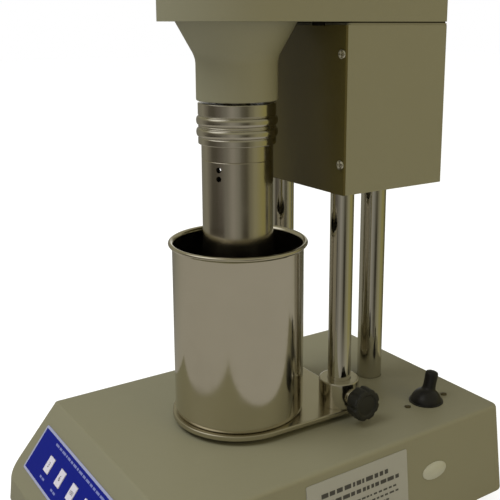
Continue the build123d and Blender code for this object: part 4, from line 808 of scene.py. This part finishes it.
def guide_collars():
    """The two guide collars: a turned ring with rolled edges, and on the right one a short round boss."""
    corners = [(GUIDE_BORE, STAGE_TOP), (GUIDE_RADIUS, STAGE_TOP), (GUIDE_RADIUS, GUIDE_TOP),
               (GUIDE_BORE, GUIDE_TOP)]
    section = rounded(corners, [0.2, 0.2, 0.9, 0.5], closed=True, steps=5)
    for side, node in ((-1, "guide_collar_left"), (1, "guide_collar_right")):
        parts = [turned(section, centre=(side * COLUMN_X, COLUMN_Y), steps=96, closed=True)]
        if side > 0:
            boss = rounded(
                [(BOSS_BORE, 0), (BOSS_RADIUS, 0), (BOSS_RADIUS, BOSS_REACH), (BOSS_BORE, BOSS_REACH)],
                [0.1, 0.1, 0.5, 0.2], closed=True,
            )
            points, faces = turned(boss, centre=(0, 0), steps=48, closed=True)
            centre = (COLUMN_X, COLUMN_Y, CLAMP_Z)
            parts.append((moved(points, centre, (0, 1, 0), (0, 0, 1), (1, 0, 0)), faces))
        put_mesh(f"turned_{node}", *joined(parts), collar_steel, "stage", stands_for=[node])


def pan_head(radius, height, slot_width, slot_depth, cross):
    """A domed screw head on a polar grid: height falls with the square of the radius, and a slot or a cross
    is pressed in wherever the distance to its line is under half its width."""
    rings, steps = 12, 64
    fall, arm, far, soft, flank = 0.45, 0.72, 9.0, 0.12, 1.02 * radius
    r = radius * np.linspace(0, 1, rings)[1:, None]
    a = np.linspace(0, 2 * math.pi, steps, endpoint=False)[None, :]
    x, y = r * np.cos(a), r * np.sin(a)
    z = height * (1 - fall * (r / radius) ** 2) + 0 * a
    reach = radius * arm if cross else radius * 2
    near = np.where(np.abs(x) < reach, np.abs(y), far)
    if cross:
        near = np.minimum(near, np.where(np.abs(y) < reach, np.abs(x), far))
    z = z - slot_depth * np.clip((slot_width / 2 - near) / soft + 0.5, 0, 1)
    rows = np.stack([x, y, z], -1)
    wall = np.stack([flank * np.cos(a), flank * np.sin(a), 0 * a], -1)
    rows = np.concatenate([rows, wall])
    points = np.concatenate([[(0, 0, height - slot_depth)], rows.reshape(-1, 3)])
    index = 1 + np.arange(rows.shape[0] * steps).reshape(rows.shape[0], steps)
    faces = np.stack([np.zeros(steps, int), index[0], np.roll(index[0], -1)], 1).tolist()
    inner, outer = index[:-1], index[1:]
    quads = np.stack([inner, outer, np.roll(outer, -1, 1), np.roll(inner, -1, 1)], -1)
    return points, faces + quads.reshape(-1, 4).tolist()


def small_screws():
    """The cover's four cross-head screws and the switch's two slotted ones, each on its own face."""
    low, high = np.array(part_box("cover_screws")) / MM
    face_y = low[1] + COVER_SCREW_LIFT
    parts = []
    for x in (low[0] + COVER_SCREW_RADIUS, high[0] - COVER_SCREW_RADIUS):
        for z in (low[2] + COVER_SCREW_RADIUS, high[2] - COVER_SCREW_RADIUS):
            points, faces = pan_head(COVER_SCREW_RADIUS, 1.55, slot_width=0.75, slot_depth=0.55, cross=True)
            parts.append((moved(points, (x, face_y, z), (1, 0, 0), (0, 0, 1), (0, -1, 0)), faces))
    put_mesh("cover_screw_heads", *joined(parts), bright_zinc, "root", stands_for=["cover_screws"])
    parts = []
    for side in (-1, 1):
        points, faces = pan_head(SWITCH_SCREW_RADIUS, 0.8, slot_width=0.5, slot_depth=0.35, cross=False)
        centre = (TOGGLE[0], TOGGLE[1] + side * SWITCH_SCREW_SPREAD, TOP_Z)
        parts.append((moved(points, centre, (0.8, 0.6, 0), (-0.6, 0.8, 0), (0, 0, 1)), faces))
    put_mesh("switch_screw_heads", *joined(parts), dull_zinc, "root", stands_for=["toggle_screws"])


def panel_print():
    """Figures on the keys and fine pale rules on the key panel, laid just proud of the film."""
    top_edge = np.array((0.0, SLOPE_TOP_Y, TOP_Z))
    chance = np.random.default_rng(4)
    row_half, row_down, row_depth, row_gap, marks_down, marks_depth = 50.0, 16.2, 1.3, 1.0, 35.6, 1.2
    strips = []
    x = -row_half
    while x < row_half:
        width = chance.uniform(1.4, 5.2)
        strips.append((x, row_down, width, row_depth))
        x += width + row_gap
    for index, name in enumerate(KEY_NAMES):
        x = (index - (len(KEY_NAMES) - 1) / 2) * KEY_PITCH
        origin = top_edge + (x, 0, 0) + SLOPE_DOWN * KEY_DOWN
        size = 4.6 if len(name) == 1 else 3.3
        points, faces = words(name, size, origin, (1, 0, 0), -SLOPE_DOWN, SLOPE_NORMAL, KEY_FACE)
        put_mesh(f"key_figures_{name}", points, faces, print_ink, f"pressed_key_{name}", smooth=False)
        strips += [(x - 3.2, marks_down, 2.6, marks_depth), (x + 0.3, marks_down, 3.2, marks_depth)]
    points, faces = bars(strips, top_edge, (1, 0, 0), SLOPE_DOWN, SLOPE_NORMAL, PANEL_FACE)
    put_mesh("panel_rules", points, faces, pale_ink, "root", smooth=False)


def label_print():
    """Rows of plain bars on the side plate, in place of its print: (down, depth, length, start)."""
    chance = np.random.default_rng(9)
    strips = []
    rows = [(7.2, 2.6, 50, 9.5), (12.4, 2.3, 60, 6.5), (18.0, 1.1, 56, 7.0), (21.2, 1.1, 60, 5.0),
            (24.4, 1.1, 52, 5.0), (28.2, 1.1, 60, 5.0), (31.6, 1.1, 44, 5.0), (35.0, 1.1, 58, 5.0)]
    for down, depth, length, start in rows:
        x, end = start, start + length
        stretch = 1.5 if depth > 2 else 1.0
        while x < end - 2:
            width = min(chance.uniform(1.0, 3.4) * stretch, end - x)
            strips.append((x, down, width, depth))
            x += width + chance.uniform(0.7, 1.3)
    edge_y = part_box("side_label")[0][1] / MM
    origin = np.array((HALF_WIDTH - WALL_LEAN, edge_y, TOP_Z)) + SIDE_DOWN * LABEL_DOWN
    points, faces = bars(strips, origin, (0, 1, 0), SIDE_DOWN, SIDE_NORMAL, LABEL_FACE)
    put_mesh("label_rules", points, faces, print_ink, "root", smooth=False)


def oval_patch():
    """The oval sticker: a disc's profile turned round, narrowed to the oval and laid on the side wall."""
    long_radius, bevel, face = OVAL_LENGTH / 2, 0.15, 0.4
    profile = [(long_radius, 0), (long_radius, face - bevel), (long_radius - bevel, face), (0, face)]
    points, faces = turned(profile, centre=(0, 0), steps=96)
    points = points * np.array((1, OVAL_HEIGHT / OVAL_LENGTH, 1))
    origin = np.array((HALF_WIDTH - WALL_LEAN, ROTOR_Y + OVAL_BEHIND, TOP_Z)) + SIDE_DOWN * OVAL_DOWN
    points = moved(points, origin, (0, 1, 0), -SIDE_DOWN, SIDE_NORMAL)
    put_mesh("oval_patch", points, faces, sticker_film, "root", stands_for=["oval_sticker"])


def gasket():
    """The seal under the head: a lip in the enamel paint and a dark strip whose olive-dark colour is partly
    the seal's own and partly painted shade of the groove, each a rounded rectangle's outline carried round
    a four-sided section."""
    low, high = np.array(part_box("motor_housing")) / MM
    x0, y0, x1, y1, z0 = low[0], low[1], high[0], high[1], high[2]
    step = z0 + SEAL_LIP
    for name, inset, bottom, top, finish, hidden in (
        ("seal_lip", 0.4, z0, step, paint, []),
        ("seal_strip", 0.9, step, z0 + SEAL_HEIGHT, seal_groove_shade, ["head_gasket"]),
    ):
        loops = []
        for back in (inset, inset + SEAL_WIDTH):
            left, right, near, far = x0 + back, x1 - back, y0 + back, y1 - back
            corners = [(left, near), (right, near), (right, far), (left, far)]
            loops.append(rounded(corners, 2.0, closed=True))
        section = [(loops[0], bottom), (loops[0], top), (loops[1], top), (loops[1], bottom)]
        points = np.concatenate([at_height(loop, z) for loop, z in section])
        index = np.arange(len(points)).reshape(4, -1)
        faces = bands(np.concatenate([index, index[:1]]))
        put_mesh(name, points, faces, finish, "root", smooth=False, stands_for=hidden)


def dial_print():
    """The dial's scale, printed round the disc: a tick at every step, and a number at every second."""
    parts = []
    rim, long_tick, short_tick, number_ring, tick_width = 29.2, 24.6, 26.6, 22.6, 0.28
    for step in range(DIAL_TICKS):
        angle = 2 * math.pi * step / DIAL_TICKS
        numbered = step % 2 == 0
        inner = long_tick if numbered else short_tick
        centre = np.array((0, ROTOR_Y, DIAL_FACE))
        out = np.array((math.cos(angle), math.sin(angle), 0))
        across = np.array((-math.sin(angle), math.cos(angle), 0))
        tick = (inner, -tick_width / 2, rim - inner, tick_width)
        parts.append(bars([tick], centre, out, across, (0, 0, 1), 0))
        if numbered:
            middle = centre + out * number_ring
            parts.append(words(str(step * DIAL_STEP), 2.0, middle, across, -out, (0, 0, 1), 0.0))
    put_mesh("dial_scale", *joined(parts), print_ink, "bob_assembly", smooth=False)


neck()
cup()
ring_collar()
knob()
boot()
stage()
guide_collars()
small_screws()
oval_patch()
gasket()
panel_print()
label_print()
dial_print()


# ---- floor, light and camera


def floor():
    """A wide pale floor, with a share of even white light for the camera; mirrors don't see it."""
    mesh = bpy.data.meshes.new("floor")
    size, drop = 6.0, -0.0002
    corners = [(-size, -size, drop), (size, -size, drop), (size, size, drop), (-size, size, drop)]
    mesh.from_pydata(corners, [], [(0, 1, 2, 3)])
    piece = in_scene("floor", mesh)
    material = bpy.data.materials.new("floor_white")
    material.use_nodes = True
    tree = material.node_tree
    shader = tree.nodes["Principled BSDF"]
    shader.inputs["Base Color"].default_value = (0.8, 0.8, 0.78, 1)
    shader.inputs["Roughness"].default_value = 0.9
    glow = tree.nodes.new("ShaderNodeEmission")
    glow.inputs["Color"].default_value = (1, 1, 1, 1)
    glow_power, glow_share = 1.52, 0.55
    glow.inputs["Strength"].default_value = glow_power
    path = tree.nodes.new("ShaderNodeLightPath")
    share = math_node(tree, "MULTIPLY", path.outputs["Is Camera Ray"], glow_share)
    mix = tree.nodes.new("ShaderNodeMixShader")
    for place, source in enumerate((share, shader.outputs[0], glow.outputs[0])):
        tree.links.new(source, mix.inputs[place])
    tree.links.new(mix.outputs[0], tree.nodes["Material Output"].inputs["Surface"])
    mesh.materials.append(material)
    piece.visible_glossy = False


def studio():
    """The world: white to the camera and plain to diffuse rays. Metal and glass see a ring of pale screens
    and darker gaps by the ray's compass direction, a paler floor with two dark arches in it below, a dim
    ceiling above, and one soft window."""
    world = bpy.data.worlds.new("studio")
    bpy.context.scene.world = world
    world.use_nodes = True
    tree = world.node_tree
    tree.nodes.clear()
    ray = tree.nodes.new("ShaderNodeTexCoord").outputs["Generated"]
    up = split(tree, ray)["Z"]
    turn = tree.nodes.new("ShaderNodeVectorRotate")
    turn.rotation_type = "Z_AXIS"
    turn.inputs["Angle"].default_value = -math.radians(55.85)
    tree.links.new(ray, turn.inputs["Vector"])
    facing = split(tree, turn.outputs[0])
    compass = math_node(tree, "ARCTAN2", facing["X"], math_node(tree, "MULTIPLY", facing["Y"], -1.0))
    degrees_round = math_node(tree, "MULTIPLY", compass, 180 / math.pi)
    share = math_node(tree, "ADD", math_node(tree, "DIVIDE", compass, 2 * math.pi), 0.5)
    ramp = tree.nodes.new("ShaderNodeValToRGB")
    ramp.color_ramp.interpolation = "EASE"
    stops = [(-180, (0.9, 0.9, 0.86)), (-162, (0.2, 0.19, 0.16)), (-135, (0.24, 0.23, 0.18)),
             (-116, (0.28, 0.265, 0.21)), (-98, (0.19, 0.175, 0.14)), (-84, (0.1, 0.09, 0.07)),
             (-70, (0.095, 0.085, 0.065)), (-54, (0.14, 0.125, 0.105)), (-34, (0.2, 0.19, 0.16)),
             (-12, (0.32, 0.3, 0.26)), (4, (0.25, 0.24, 0.2)), (18, (0.13, 0.12, 0.09)),
             (30, (0.1, 0.09, 0.06)), (44, (0.21, 0.195, 0.13)), (60, (0.3, 0.28, 0.17)),
             (92, (0.31, 0.28, 0.11)), (118, (0.2, 0.18, 0.08)), (137, (0.09, 0.08, 0.035)),
             (160, (0.07, 0.065, 0.035)), (179, (0.9, 0.9, 0.86))]
    while len(ramp.color_ramp.elements) < len(stops):
        ramp.color_ramp.elements.new(0.5)
    for element, (degrees, colour) in zip(ramp.color_ramp.elements, stops):
        element.position = 0.5 + degrees / 360
        element.color = (*colour, 1)
    tree.links.new(share, ramp.inputs["Fac"])
    # Levels are the upward part of the ray's direction; the window lies round one direction.
    floor_level, arch_level, ceiling_level, window_way = -0.355, -0.24, 0.1, (-0.17, -0.69, 0.705)
    floor_tone, arch_tone = (0.38, 0.36, 0.31, 1), (0.05, 0.044, 0.032, 1)
    ceiling_tone, window_tone = (0.3, 0.285, 0.2, 1), (1.0, 0.98, 0.92, 1)
    shaded = blend(tree, rise_from(tree, up, floor_level, -9.0), ramp.outputs["Color"], floor_tone)
    low = math_node(tree, "LESS_THAN", up, arch_level)
    for middle, half_width, tip, rise in ((-72.0, 32.0, -0.44, 0.12), (28.0, 10.0, -0.375, 0.05)):
        off = math_node(tree, "SUBTRACT", degrees_round, middle)
        across = math_node(tree, "DIVIDE", off, half_width)
        height = math_node(tree, "DIVIDE", math_node(tree, "SUBTRACT", up, tip), rise)
        inside = math_node(tree, "SUBTRACT", math_node(tree, "MINIMUM", height, 1.0),
                           math_node(tree, "MULTIPLY", across, across))
        soft = math_node(tree, "MULTIPLY", inside, 3.0, clamp=True)
        shaded = blend(tree, math_node(tree, "MULTIPLY", soft, low), shaded, arch_tone)
    shaded = blend(tree, rise_from(tree, up, ceiling_level, 4.0), shaded, ceiling_tone)
    window = rise_from(tree, along(tree, ray, window_way), 0.86, 9.0)
    shaded = blend(tree, window, shaded, window_tone)
    path = tree.nodes.new("ShaderNodeLightPath").outputs
    metal_sees = math_node(tree, "MAXIMUM", path["Is Glossy Ray"], path["Is Transmission Ray"])
    plain = blend(tree, metal_sees, (0.53, 0.52, 0.47, 1), shaded)
    seen = blend(tree, path["Is Camera Ray"], plain, (1, 1, 1, 1))
    background = tree.nodes.new("ShaderNodeBackground")
    tree.links.new(seen, background.inputs["Color"])
    out = tree.nodes.new("ShaderNodeOutputWorld")
    tree.links.new(background.outputs[0], out.inputs["Surface"])


def soft_lamp(name, place, target, size, power, colour):
    """A square soft lamp that faces a point and that mirrors don't see."""
    lamp = bpy.data.lights.new(name, "AREA")
    lamp.shape = "SQUARE"
    lamp.size = size
    lamp.energy = power
    lamp.color = colour
    holder = in_scene(name, lamp)
    holder.location = place
    holder.rotation_mode = "QUATERNION"
    holder.rotation_quaternion = (Vector(place) - Vector(target)).to_track_quat("Z", "Y")
    holder.visible_glossy = False


floor()
studio()
soft_lamp("key_lamp", (-0.25, -0.95, 1.8), (0, 0, 0.15), 1.0, 25.0, (0.95, 0.99, 1.04))
soft_lamp("side_lamp", (1.5, 0.6, 0.8), (0, 0, 0.2), 1.2, 5.5, (1.0, 0.83, 0.25))

camera = bpy.data.cameras.new("photo_camera")
camera.lens = 58.86
camera.sensor_width = 36.0
camera.shift_x = -0.0402
camera.shift_y = -0.1114
camera.clip_start = 0.01
viewer = in_scene("photo_camera", camera)
viewer.location = (0.38885, -0.25465, 0.29474)
viewer.rotation_euler = (math.radians(78.148), 0.0, math.radians(55.848))
bpy.context.scene.camera = viewer
bpy.context.scene.view_settings.view_transform = "Standard"
